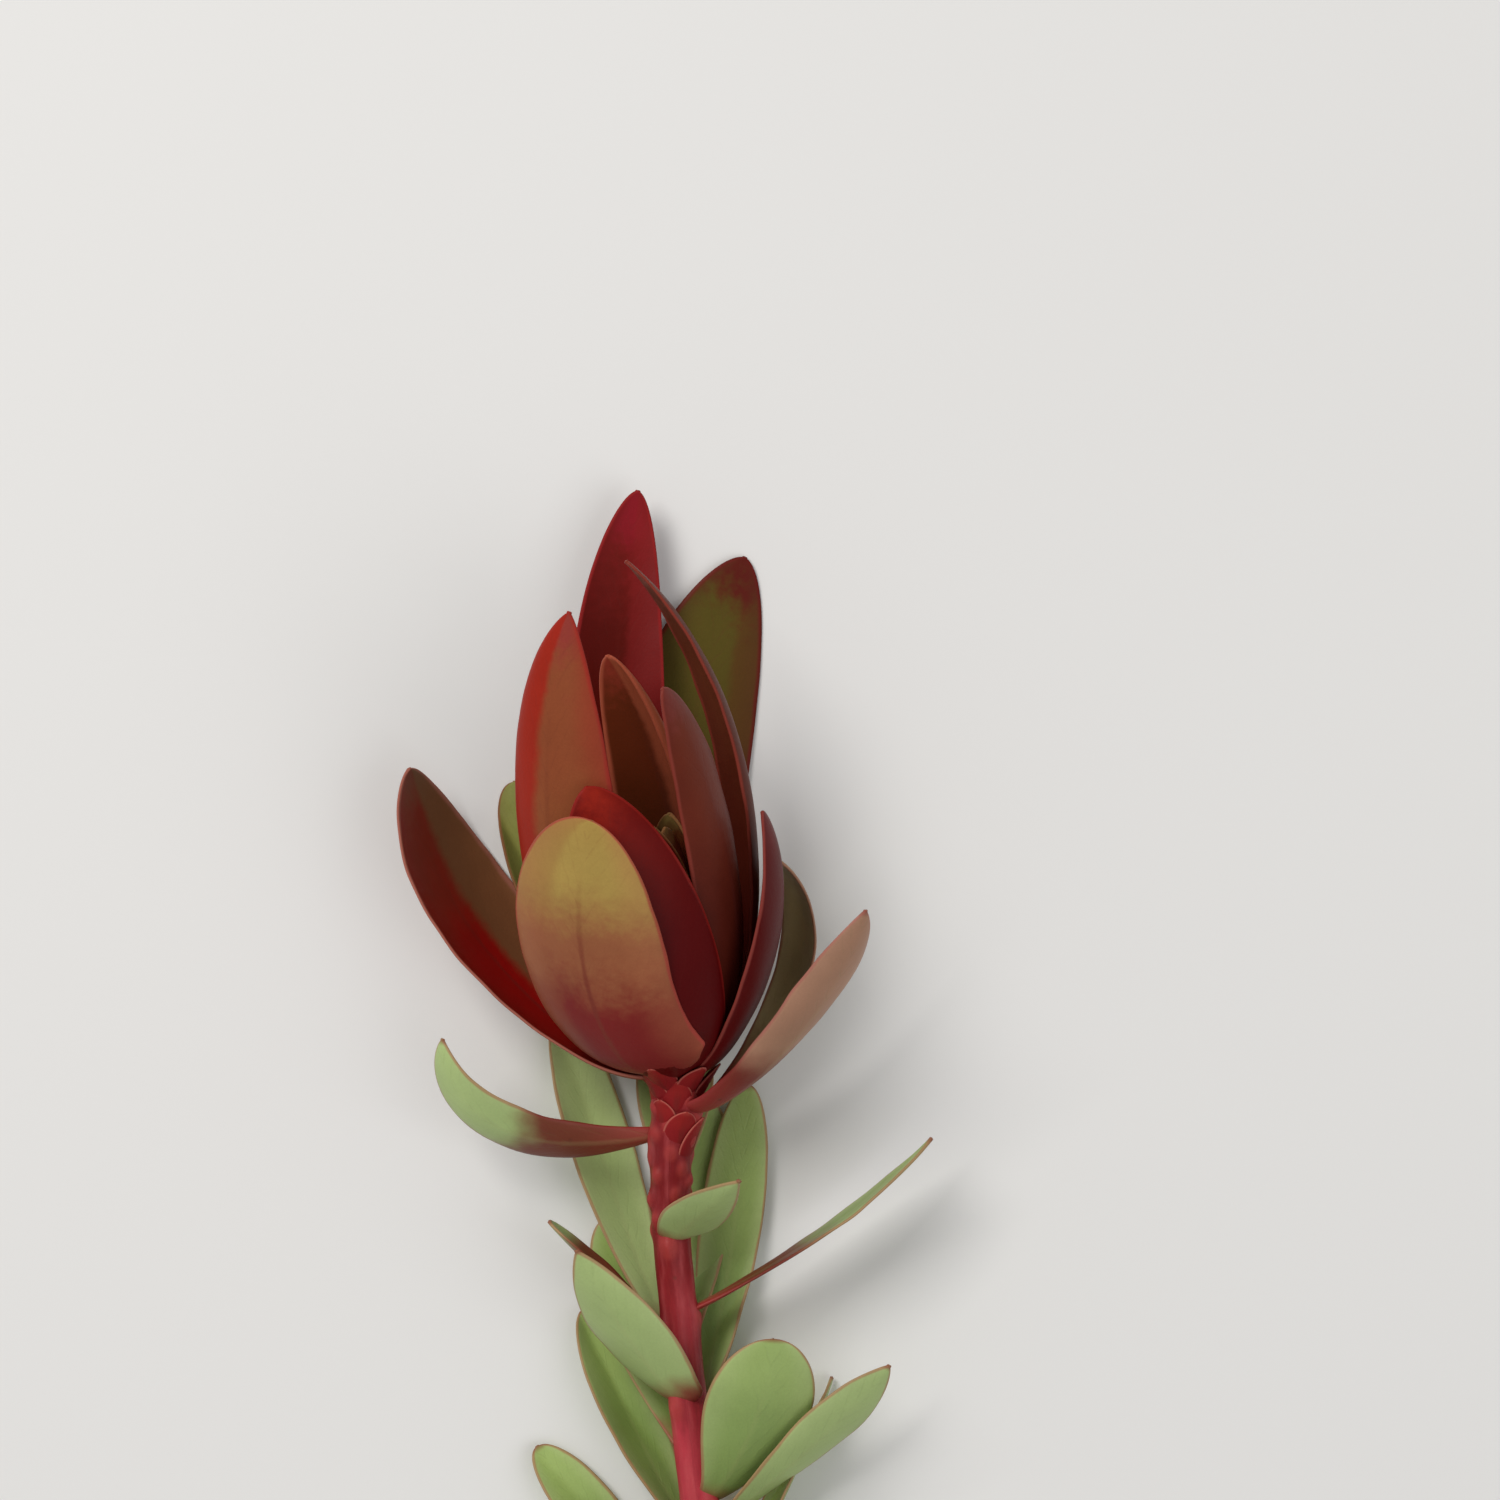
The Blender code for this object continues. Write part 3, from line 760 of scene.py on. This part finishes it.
bark = {
    "sides": 60, "ringStep": 0.5, "seed": 5, "strength": (0.8, 1.1),
    "cushion": 0.62, "cushionLength": 2.4, "cushionWidth": 26,   # mm, mm, degrees
    "cushionDrop": 0.9, "cushionSpread": 1.2,
    "ridge": 0.20, "ridgeLength": 9.0, "ridgeWidth": 14,
    "scar": 0.30, "scarLength": 1.5, "scarWidth": 24, "lowestScar": 8,
    "scarRing": 0.32, "scarDome": 0.25, "scarDomeSize": 0.8, "scarHeart": 0.72, "scarSwelling": 0.6,
    "neckKnobs": 26, "neckReach": 24, "neckKnob": 0.75, "knobSize": 0.62,
    "knobPlace": (0.2, 0.8), "knobTurn": (20, 70), "knobStrength": (0.35, 1.15),
    "near": 9, "ridgeNear": 36,                # how far away such a form still counts
    "grain": 0.05, "grainSize": 5, "grainLength": 14,
    "lump": 0.12, "lumpSize": 1.3, "lumpLength": 7,
    "lowest": 0.03,                            # mm over the surface
    # Low: the stem's pink-red, lifted with a painted sheen low down; High: its darker wine red near the
    # head, partly painted shade under the head
    "tones": {"Low": (188, 58, 70), "High": (132, 30, 34), "Swelling": (172, 62, 58),
              "Woody": (134, 66, 52)},
    "shine": 0.2, "depth": 0.12, "blotch": 0.35, "specks": 0.5,
}
cutFace = {
    "turnIn": 0.25, "turnInLength": 1.2,       # the bark turns in a little at the cut
    "rings": ((0.9, 0.02), (0.72, -0.05), (0.5, -0.03), (0.28, 0.02), (0.14, 0.12)),
    "pithSunk": 0.16, "rough": 0.05, "roughSize": 4, "roughSeed": 2.2,
    "pithTone": (150, 112, 78),                # then wood and green bast, out to the bark
    "layers": (((0.16, 0.30), (206, 196, 150)), ((0.66, 0.84), (150, 158, 92))),
    "barkFrom": (0.88, 0.97),
}


def barkFeatures():
    # (distance from the cut end, turn, kind, strength)
    draw = random.Random(bark["seed"])
    total = stem["length"] / mm
    features = [(total - blade["place"], blade["turn"], "leaf", draw.uniform(*bark["strength"]))
                for blade in allLeaves]
    place, turn = features[-1][:2]
    while place > bark["lowestScar"]:
        place -= leafRule["step"] * draw.uniform(*leafRule["stepVary"])
        turn += stem["spiralTurn"]
        features.append((place, turn % 360, "scar", draw.uniform(*bark["strength"])))
    for number in range(bark["neckKnobs"]):
        reach = bark["neckReach"] * (number + draw.uniform(*bark["knobPlace"])) / bark["neckKnobs"]
        turn = (number * stem["spiralTurn"] + draw.uniform(*bark["knobTurn"])) % 360
        features.append((total - reach, turn, "knob", draw.uniform(*bark["knobStrength"])))
    return features


def angleApart(first, second):
    return (first - second + 180) % 360 - 180


def barkRelief(place, turn, near):
    # height above the round stem in mm, with marks for swelling and scar
    height, swelling, scar = 0.0, 0.0, 0.0
    for featurePlace, featureTurn, kind, strength in near:
        up = place - featurePlace
        around = angleApart(turn, featureTurn)
        if kind == "scar":
            reach = hypot(up / bark["scarLength"], around / bark["scarWidth"])
            ring = exp(-((reach - 1) / bark["scarRing"]) ** 2)
            dome = bark["scarDome"] * exp(-(reach / bark["scarDomeSize"]) ** 2)
            height += bark["scar"] * strength * (ring + dome)
            scar = max(scar, exp(-(reach / bark["scarHeart"]) ** 4))
            swelling = max(swelling, bark["scarSwelling"] * ring)
        else:
            tall = bark["cushion"] if kind == "leaf" else bark["neckKnob"]
            size = 1.0 if kind == "leaf" else bark["knobSize"]
            below = (up + bark["cushionDrop"]) / (bark["cushionLength"] * size)
            beside = around / (bark["cushionWidth"] * size * bark["cushionSpread"])
            swell = exp(-below * below - beside ** 2)
            height += tall * strength * swell
            swelling = max(swelling, swell)
            if kind == "leaf" and up < 0:
                fade = exp(up / bark["ridgeLength"]) * exp(-(around / bark["ridgeWidth"]) ** 2)
                height += bark["ridge"] * fade
    return height, swelling, scar


def makeStem():
    features = barkFeatures()
    total = stem["length"] / mm
    rings = round(total / bark["ringStep"])
    sides = bark["sides"]
    store = newStore(("along", "around", "upward", "knob", "scar", "core"))
    points, faces = store["points"], store["faces"]

    def add(point, share, around, knob=0, scar=0, core=1.0):
        put(store, point, share, around, share * total, knob, scar, core)

    for ring in range(rings + 1):
        place = total * ring / rings
        base = stemFrame(place * mm)
        near = [feature for feature in features if abs(place - feature[0]) < bark["near"] or
                (feature[2] == "leaf" and -bark["ridgeNear"] < place - feature[0] < 0)]
        ends = min(1.0, place / cutFace["turnInLength"])
        turnIn = cutFace["turnIn"] * mm * (1 - ends) ** 2
        for step in range(sides):
            turn = 360 * step / sides
            angle = radians(turn)
            height, knob, scar = barkRelief(place, turn, near)
            height += (bark["grain"] * roundNoise(angle, bark["grainSize"], place / bark["grainLength"])
                       + bark["lump"] * roundNoise(angle, bark["lumpSize"], place / bark["lumpLength"]))
            spot = base[0] + outward(base, angle) * (stemRadius(place * mm) + height * mm - turnIn)
            spot.z = max(spot.z, bark["lowest"] * mm)
            add(spot, place / total, angle, knob, scar)
    faces += tubeFaces(rings, sides, closed=False)

    base = stemFrame(0)                        # the cut end, ring by ring to the pith
    outer = 0
    for core, sunk in cutFace["rings"]:
        start = len(points)
        for angle in ringAngles(sides):
            rough = cutFace["rough"] * roundNoise(angle, cutFace["roughSize"] * core, cutFace["roughSeed"])
            add(base[0] + outward(base, angle) * (stem["cutRadius"] * core)
                + base[1] * ((sunk + rough) * mm), 0.0, angle, core=core)
        for step in range(sides):
            after = (step + 1) % sides
            faces.append((outer + step, start + step, start + after, outer + after))
        outer = start
    add(base[0] + base[1] * (cutFace["pithSunk"] * mm), 0.0, 0.0, core=0.0)
    faces += [(outer + step, len(points) - 1, outer + (step + 1) % sides) for step in range(sides)]
    add(stemFrame(stem["length"])[0], 1.0, 0.0)
    top = rings * sides
    faces += [(top + step, top + (step + 1) % sides, len(points) - 1) for step in range(sides)]
    return newPiece("stemBark", store)


def stemMaterial():
    material, tree, shader = newMaterial("stemBark", bark["shine"])
    tones = {label: tone(value) for label, value in bark["tones"].items()}
    skinned = useGroup(tree, stemSkin, tones)
    core = mark(tree, "core")
    layers = [(ramp(tree, core, *reach), tone(layerTone)) for reach, layerTone in cutFace["layers"]]
    layers.append((ramp(tree, core, *cutFace["barkFrom"]), skinned["Colour"]))
    colour = overlay(tree, tone(cutFace["pithTone"]), *layers)
    finishSkin(tree, shader, colour, skinned["Height"], bark["depth"], bark["blotch"], bark["specks"])
    return material


standFor(makeStem(), "leafy_stem", stemMaterial())
print("stem made")


# Leaves

leafTones = {
    "green": (146, 172, 94), "topGreen": (162, 188, 112), "paleGreen": (194, 212, 146),
    "foot": (150, 40, 42), "blush": (114, 32, 24), "rim": (164, 116, 84), "back": (148, 170, 106),
    "yellow": (152, 156, 78), "beige": (166, 98, 90), "edge": (132, 62, 48),
    "deep": (104, 130, 60), "flank": (186, 198, 142),
}
leafLook = {
    "ageStep": 0.37, "clouds": 60, "yellowing": 0.45, "paling": 0.8,
    "deep": 0.5, "deepLoss": -0.42, "flank": 0.6,       # pale leaves are more even
    "parts": {"Rim Width": 0.5, "Belly Place": 0.5, "Top Place": 0.9, "Flank Amount": 0.55,
              "Back Amount": 0.4},
    "blushClouds": 120, "blushDrift": 0.24, "blushFade": (-0.08, 0.13, 0.95, 0.0),
    "footFade": (0.0, 0.35), "tipFade": (0.975, 0.999, 0.0, 0.7),
    "ribTone": (176, 172, 118), "ribAmount": 0.12, "veinTone": (100, 116, 60), "veinAmount": 0.08,
    "veinRelief": -0.3, "depth": 0.10,
}


def leafMaterial():
    # each leaf's own blush and paleness ride in its marks
    look = leafLook
    material, tree, shader = newMaterial("leafSkin")
    tones = {name: tone(value) for name, value in leafTones.items()}
    age = maths(tree, "FRACT", times(tree, mark(tree, "seed"), look["ageStep"]))
    pale = mark(tree, "pale")
    green = overlay(
        tree, tones["green"], (age, tones["topGreen"]),
        (times(tree, mottle(tree, look["clouds"]), look["yellowing"]), tones["yellow"]),
        (times(tree, pale, look["paling"]), tones["paleGreen"]))
    deep = overlay(tree, green, (timesPlus(tree, pale, look["deepLoss"], look["deep"]), tones["deep"]))
    flank = overlay(tree, green, (look["flank"], tones["flank"]))
    parts = {"Foot": deep, "Belly": deep, "Top": green, "Tip": green, "Rim": tones["rim"],
             "Flank": flank, "Back": tones["back"]}
    colour = useGroup(tree, blush, {**parts, **look["parts"]})["Colour"]
    along = mark(tree, "along")
    drift = timesPlus(tree, mottle(tree, look["blushClouds"]), look["blushDrift"],
                      -look["blushDrift"] / 2)
    reach = plus(tree, less(tree, along, mark(tree, "blush")), drift)
    red = overlay(tree, tones["foot"], (ramp(tree, along, *look["footFade"]), tones["blush"]))
    colour = overlay(tree, colour, (mark(tree, "warm"), tones["beige"]),
                     (ramp(tree, reach, *look["blushFade"]), red),
                     (ramp(tree, along, *look["tipFade"]), tones["edge"]))
    finishBlade(tree, shader, colour, look)
    return material


def addLeaf(store, blade, rule, seed):
    place = stem["length"] - blade["place"] * mm
    addBlade(store, blade, stemFrame(place), rule["rootDepth"] * stemRadius(place), rule, leafRest,
             seed)


def makeLeaves(name, leaves, first):
    store = newStore()
    for number, blade in enumerate(leaves):
        addLeaf(store, blade, leafRule, first + number)
    return newPiece(name, store)


leafSkin = leafMaterial()
standFor(makeLeaves("upperLeaves", upperLeaves, 0), "leafy_stem", leafSkin)
standFor(makeLeaves("lowerLeaves", allLeaves[len(upperLeaves):], len(upperLeaves)),
         "leafy_stem", leafSkin)
print("leaves made:", len(allLeaves))


# Small scales around the neck, in a spiral from the head down

neckScales = {
    "count": 20, "firstTurn": 340, "seed": 3, "firstSeed": 40,
    "from": 0.3, "reach": 13.0, "crowding": 1.3,        # mm below the head, closest at the top
    "length": 7.0, "width": 6.0, "vary": (0.85, 1.15),
    "top": 5.0, "topLength": 3.0, "topLean": 34,        # the top ones follow the widening head
    "lean": 10, "rootLean": 44, "tipLean": (2, 12), "sway": 14,
    "shape": {"cup": 0.75, "foot": 0.8, "belly": 0.35, "point": 0.6, "thin": 0.5, "wave": 0.1},
    "rows": 16, "columns": 10, "rootDepth": 0.80, "clearOfLeaf": 45,
    "finish": {"Rim Width": 0.3, "Back Amount": 0.2},
    "colours": ((132, 30, 34), (136, 30, 32), (148, 36, 34), (164, 60, 52), (186, 100, 88),
                (140, 30, 34), (140, 32, 36), (140, 32, 34)),
}


def underLeaf(place, turn):
    return any(0 < place - blade["place"] < neckScales["length"]
               and abs(angleApart(turn, blade["turn"])) < neckScales["clearOfLeaf"]
               for blade in upperLeaves)


def makeNeckScales():
    rule, draw = neckScales, random.Random(neckScales["seed"])
    store = newStore()
    for number in range(rule["count"]):
        place = rule["from"] + rule["reach"] * (number / rule["count"]) ** rule["crowding"]
        turn = (rule["firstTurn"] + number * stem["spiralTurn"]) % 360
        size = draw.uniform(*rule["vary"])
        top = max(0.0, 1 - place / rule["top"])
        lean = rule["lean"] + rule["topLean"] * top
        blade = leaf(place, turn, (rule["length"] + rule["topLength"] * top) * size,
                     rule["width"] * size,
                     lean=(rule["rootLean"], lean, lean + draw.uniform(*rule["tipLean"])),
                     sway=(0, draw.uniform(-rule["sway"], rule["sway"])), **rule["shape"])
        if not underLeaf(place, turn):
            addLeaf(store, blade, rule, rule["firstSeed"] + number)
    standFor(newPiece("neckScales", store), "leafy_stem",
             bladeMaterial("neckScales", rule["colours"], rule["finish"]))


makeNeckScales()
print("neck scales made")


# Outer bracts: each has its own shape, its colours in the order of bladeParts, and its finish

# a deep wine red made darker still: painted shade for the bracts that sit deep between the others, in the
# order of bladeParts
deepRedAndShade = ((86, 6, 8), (86, 4, 6), (116, 20, 14), (160, 38, 22), (140, 32, 26), (88, 5, 7),
           (88, 7, 8), (88, 6, 8))
outerBracts = {
    "bractFront": (
        bract(4.6, -34, 60, 28, lean=(110, 20, 2), sway=(-10, 28), twist=(0, 10), cup=0.6, foot=1.0,
              belly=0.48, point=0.5),
        ((122, 28, 33), (152, 92, 62), (178, 150, 80), (174, 144, 76), (168, 66, 58), (186, 120, 84),
         (150, 96, 56), (142, 80, 50)),
        {"Back Amount": 0.06, "Flank Amount": 0.3, "Foot Place": 0.33, "Belly Place": 0.56,
         "Top Place": 0.82, "ribAmount": 0.8, "ribTone": (120, 50, 40), "Side Amount": 0.3,
         "Side Reach": 0.4}),
    "bractLeft": (
        bract(2.2, 242, 72, 28, lean=(91, 50, -8), cup=0.6, belly=0.58),
        ((150, 22, 16), (150, 16, 12), (130, 40, 24), (124, 62, 40), (168, 104, 88), (144, 20, 16),
         (124, 60, 46), (118, 80, 50)),
        {"Belly Place": 0.45, "Top Place": 0.8, "Rim Width": 1.1, "Side Amount": 0.9, "Side Reach": 0.22}),
    "bractRest": (
        bract(1.6, 170, 95, 26, lean=(84, 30, 20), sway=(8, -28)),
        ((70, 22, 16), (72, 56, 20), (86, 74, 26), (92, 28, 20), (104, 26, 24), (80, 50, 26),
         (104, 90, 44), (96, 26, 20)),
        {"Rim Width": 1.0, "Side Amount": 0.35, "Side Reach": 0.4}),
    # bractRight is dark wine all over: partly its own colour, partly painted shade of a bract deep in the
    # head
    "bractRight": (
        bract(1.8, 80, 52, 20, lean=(86, 36, -18)),
        ((104, 14, 16), (90, 12, 14), (92, 16, 16), (120, 32, 30), (140, 62, 54), (90, 14, 14),
         (92, 16, 16), (90, 12, 12)), {}),
    "bractOverBud": (
        bract(3.0, 4, 62, 24, lean=(90, 20, -18), sway=(0, -14), foot=0.7, belly=0.42, point=0.6),
        deepRedAndShade, {"Back Amount": 0.2, "Belly Place": 0.5, "Top Place": 0.9}),
    "bractBackLeft": (
        bract(3.0, 222, 60, 23, lean=(80, 42, 26), sway=(-10, -10), point=0.5),
        ((80, 20, 16), (112, 74, 38), (136, 138, 70), (144, 146, 80), (134, 78, 56), (122, 112, 58),
         (128, 120, 60), (120, 106, 54)),
        {}),
    "bractArch": (
        bract(3.6, 108, 95, 13, lean=(80, 13, -40), cup=0.9, sway=(0, 3)),
        ((84, 14, 12), (82, 28, 17), (102, 50, 30), (148, 82, 66), (136, 56, 44), (84, 29, 19),
         (90, 34, 22), (84, 32, 20)), {}),
    # bractBack stays dark deep red over most of its length: partly its own colour, partly painted shade
    # from the bracts in front of it
    "bractBack": (
        bract(4.6, 188, 99, 18, lean=(76, 11, 14), sway=(6, -22)),
        ((80, 12, 6), (88, 14, 7), (114, 23, 19), (136, 24, 34), (146, 34, 34), (106, 18, 15),
         (94, 22, 16), (130, 28, 29)),
        {"Belly Place": 0.72, "Top Place": 0.94, "Side Amount": 0.5, "Side Reach": 0.2}),
    "bractInRight": (
        bract(4.2, 66, 75, 16, lean=(86, 7, -10), sway=(4, -24), twist=(0, -10)),
        ((66, 14, 11), (84, 27, 18), (116, 48, 30), (136, 60, 54), (134, 56, 46), (96, 32, 22),
         (96, 36, 24), (92, 32, 22)),
        {"Back Amount": 0.3, "Belly Place": 0.36, "Top Place": 0.80}),
    "bractInLeft": (
        bract(4.6, 304, 88, 25, lean=(88, 6, -23), cup=0.8, sway=(0, 8), twist=(0, 32), curl=(0.6, 0),
              belly=0.46, point=0.8),
        ((104, 32, 20), (148, 84, 48), (136, 70, 42), (140, 50, 46), (154, 42, 34), (146, 52, 38),
         (138, 74, 44), (154, 26, 17)),
        {"Back Amount": 0.12, "Rim Width": 0.8, "Flank Amount": 0.75, "Side Amount": 0.95,
         "Side Reach": 0.2}),
    # bractMiddle: its dark olive foot and belly are partly painted shade on the inner face, and its pale
    # left side along the curled margin is partly its own tan, partly a painted highlight
    "bractMiddle": (
        bract(4.6, 154, 73, 18, lean=(78, 14, -24), sway=(0, 10), curl=(1.8, 0)),
        ((58, 20, 6), (80, 36, 12), (98, 40, 18), (144, 54, 38), (172, 84, 60), (86, 38, 16),
         (140, 68, 42), (154, 76, 50)),
        {"Rim Width": 0.9, "Flank Amount": 0.2, "Side Amount": 0.9, "Side Reach": 0.1}),
}
bractRule = {"rows": 84, "columns": 26}
bractRoots = {"outer_bracts": {"depth": 0.0024, "firstSeed": 50},    # m from the stem's line
              "inner_bracts": {"depth": 0.0036, "firstSeed": 80}}


def makeBracts(bracts, node):
    root = bractRoots[node]
    for number, (name, (blade, colours, finish)) in enumerate(bracts.items()):
        store = newStore()
        addBlade(store, blade, headFrame(blade["place"] * mm), root["depth"], bractRule,
                 bractRest, root["firstSeed"] + number)
        standFor(newPiece(name, store), node, bladeMaterial(name, colours, finish))


makeBracts(outerBracts, "outer_bracts")
print("outer bracts made:", len(outerBracts))


# The receptacle and the inner bracts' seat: turned, with small ribs

turned = {
    "receptacle": {
        "profile": ((-0.9, 3.9), (0.3, 4.2), (2.8, 5.2), (5.5, 6.8), (7.2, 7.6), (8.0, 7.6)),
        "ribs": 11, "node": "outer_bracts", "tone": (140, 30, 32)},
    "seat": {
        "profile": ((8.3, 5.2), (11.3, 5.2)),
        "ribs": 6, "node": "inner_bracts", "tone": (96, 14, 14)},
}
turnedLook = {
    "sides": 72, "steps": 6, "rib": 0.06, "lump": 0.45, "lumpSize": 1.8, "lumpLength": 2.0,
    "clouds": 300, "cloudEdge": (0.35, 0.7), "cloudTone": (164, 56, 50), "shine": 0.15, "depth": 0.12,
}


def turnedMaterial(name, colour):
    look = turnedLook
    material, tree, shader = newMaterial(name, look["shine"])
    cloud = mottle(tree, look["clouds"])
    mixed = overlay(tree, tone(colour),
                    (ramp(tree, cloud, *look["cloudEdge"]), tone(look["cloudTone"])))
    finishSkin(tree, shader, mixed, cloud, look["depth"])
    return material


def makeTurned(name, form):
    look, profile, levels = turnedLook, form["profile"], []
    for (low, lowRadius), (high, highRadius) in zip(profile, profile[1:]):
        for step in range(look["steps"]):
            share = step / look["steps"]
            levels.append((between((low, high), share), between((lowRadius, highRadius), share)))
    levels.append(profile[-1])
    store = newStore(())
    for height, radius in levels:
        base = headFrame(height * mm)
        for angle in ringAngles(look["sides"]):
            rib = look["rib"] * (cos(form["ribs"] * angle + height) - 1)
            lump = look["lump"] * roundNoise(angle, look["lumpSize"], height / look["lumpLength"])
            put(store, base[0] + outward(base, angle) * ((radius + rib + lump) * mm))
    store["faces"] += tubeFaces(len(levels) - 1, look["sides"])
    standFor(newPiece(name, store), form["node"], turnedMaterial(name, form["tone"]))


for turnedName, turnedForm in turned.items():
    makeTurned(turnedName, turnedForm)


# Inner bracts that clasp the bud

# paleTip keeps the deep red with its painted shade low down, under a pale top and tip; the other scales
# carry that painted shade all over
paleTip = (*deepRedAndShade[:2], (128, 60, 32), (184, 160, 92), (160, 110, 66), *deepRedAndShade[5:])
innerBracts = {
    "scaleFront": (scale(9.4, 2, 41, 19, lean=(66, 6, -16)), paleTip, {}),
    "scaleRight": (scale(9.4, 122, 38, 19, lean=(66, 6, -16)), paleTip, {}),
    "scaleLeft": (scale(9.4, 242, 41, 19, lean=(66, 6, -14)), deepRedAndShade, {}),
    "scaleInRight": (scale(10.2, 62, 36, 16), paleTip, {}),
    "scaleInBack": (scale(10.2, 182, 37, 16), deepRedAndShade, {}),
    "scaleInLeft": (scale(10.2, 302, 38, 16), deepRedAndShade, {}),
}
makeBracts(innerBracts, "inner_bracts")
print("inner bracts made:", len(innerBracts))


# The flower cone: a core covered with pointed scales in spirals

cone = {
    "low": 11.6, "height": 20.0, "radius": 4.6, "core": 0.86, "sides": 40, "levels": 24,
    "outline": (0.04, 0.93, 0.8, 0.6),         # start, span, skew and fullness of its egg shape
    "scales": 90, "turn": 137.5, "firstScale": 0.02, "scaleSpan": 0.84, "lastPlace": 0.985,
    "scaleLength": 3.4, "scaleWidth": 2.0, "scaleRows": 8, "scaleColumns": 8,
    "scaleOutline": (0.25, 0.74, 0.8),         # start, span and fullness of a scale
    "face": 0.99, "rootLift": 0.35, "scaleRound": 0.10, "rootSunk": 0.2, "leastRadius": 1.2,
    "tone": (176, 164, 92), "tip": (190, 118, 78), "tipFade": (0.55, 1.0),
    "shine": 0.3, "grain": 1500, "depth": 0.10,
}


def coneRadius(share):
    start, span, skew, fullness = cone["outline"]
    return cone["radius"] * sin(pi * (start + span * share) ** skew) ** fullness


def coneFrame(share):
    return headFrame((cone["low"] + cone["height"] * share) * mm)


def makeCone():
    store = newStore(("tipShare",))
    points, faces = store["points"], store["faces"]
    sides, levels = cone["sides"], cone["levels"]
    for level in range(levels + 1):
        share = level / levels
        base = coneFrame(share)
        for angle in ringAngles(sides):
            put(store, base[0] + outward(base, angle) * (coneRadius(share) * cone["core"] * mm), 0.0)
    faces += tubeFaces(levels, sides)
    rows, columns = cone["scaleRows"], cone["scaleColumns"]
    width = columns + 1
    scaleStart, scaleSpan, scaleFullness = cone["scaleOutline"]
    for number in range(cone["scales"]):
        share = cone["firstScale"] + cone["scaleSpan"] * (number + 0.5) / cone["scales"]
        angle = radians(number * cone["turn"])
        start = len(points)
        for row in range(rows + 1):
            climb = row / rows
            here = min(share + climb * cone["scaleLength"] / cone["height"], cone["lastPlace"])
            base = coneFrame(here)
            radius = coneRadius(here)
            grown = sin(pi * (scaleStart + scaleSpan * climb)) ** scaleFullness
            half = 0.5 * cone["scaleWidth"] * grown
            lift = between((cone["core"], cone["face"]), min(1.0, cone["rootLift"] + climb))
            for column in range(width):
                reach = 2 * column / columns - 1
                out = outward(base, angle + reach * half / max(radius, cone["leastRadius"]))
                bulge = (lift - cone["scaleRound"] * reach * reach
                         - (cone["rootSunk"] if row == 0 else 0))
                put(store, base[0] + out * (radius * bulge * mm), climb)
        under = len(points)
        put(store, coneFrame(share)[0], 0.0)
        faces += gridCells(rows, columns, start)
        rim = [start + row * width + column for row, column in gridEdge(rows, columns)]
        for here, after in zip(rim, rim[1:] + rim[:1]):
            faces.append((after, here, under))
    return newPiece("coneScales", store)


def coneMaterial():
    material, tree, shader = newMaterial("coneScales", cone["shine"])
    tipAmount = ramp(tree, mark(tree, "tipShare"), *cone["tipFade"])
    colour = overlay(tree, tone(cone["tone"]), (tipAmount, tone(cone["tip"])))
    finishSkin(tree, shader, colour, mottle(tree, cone["grain"]), cone["depth"])
    return material


standFor(makeCone(), "flower_cone", coneMaterial())
print("cone made")


# Floor, light and camera

stage = {"floorSize": 12.0, "floorTone": (0.80, 0.79, 0.775, 1.0), "floorRoughness": 0.7,
         "world": 0.36, "aim": 0.04}           # the lights look at this height in the head
lights = {                                     # place from the head, size, power and tint
    "keyLight": ((-0.75, 0.75, 1.25), 0.8, 17, (1.0, 0.985, 0.96)),
    "fillLight": ((0.9, -0.5, 1.3), 1.2, 6, (0.97, 0.985, 1.0)),
}


def makeFloor():
    half = stage["floorSize"] / 2
    mesh = bpy.data.meshes.new("floor")
    corners = [(-half, -half, 0), (half, -half, 0), (half, half, 0), (-half, half, 0)]
    mesh.from_pydata(corners, [], [(0, 1, 2, 3)])
    floor = newObject("floor", mesh)
    material, _, shader = newMaterial("floorPaint")
    shader.inputs["Base Color"].default_value = stage["floorTone"]
    shader.inputs["Roughness"].default_value = stage["floorRoughness"]
    mesh.materials.append(material)


def softBox(name, spot, size, power, tint):
    target = headFrame(stage["aim"])[0]
    light = bpy.data.lights.new(name, "AREA")
    light.shape = "SQUARE"
    light.size = size
    light.energy = power
    light.color = tint
    lamp = newObject(name, light)
    lamp.location = target + Vector(spot)
    lamp.rotation_euler = (target - lamp.location).to_track_quat("-Z", "Y").to_euler()


makeFloor()
for lightName, lightValues in lights.items():
    softBox(lightName, *lightValues)

world = bpy.data.worlds.new("softRoom")
world.use_nodes = True
roomLight = world.node_tree.nodes["Background"].inputs
roomLight["Color"].default_value = (1, 1, 1, 1)
roomLight["Strength"].default_value = stage["world"]
bpy.context.scene.world = world
bpy.context.scene.view_settings.view_transform = "Standard"

view = {"height": 1.1, "frameWidth": 0.250, "sensor": 36.0,
        "neckPixel": (675, 1086), "imageSize": 1500}


def makeCamera():
    # straight above the frame's middle, so that the neck falls on its pixel in the photo
    pixel = view["frameWidth"] / view["imageSize"]
    middle = view["imageSize"] / 2
    camera = bpy.data.cameras.new("camera")
    camera.sensor_width = view["sensor"]
    camera.lens = view["sensor"] * view["height"] / view["frameWidth"]
    holder = newObject("camera", camera)
    holder.location = stemFrame(stem["length"])[0] + Vector((
        (middle - view["neckPixel"][0]) * pixel, (view["neckPixel"][1] - middle) * pixel,
        view["height"]))
    bpy.context.scene.camera = holder


makeCamera()
print("stage set")
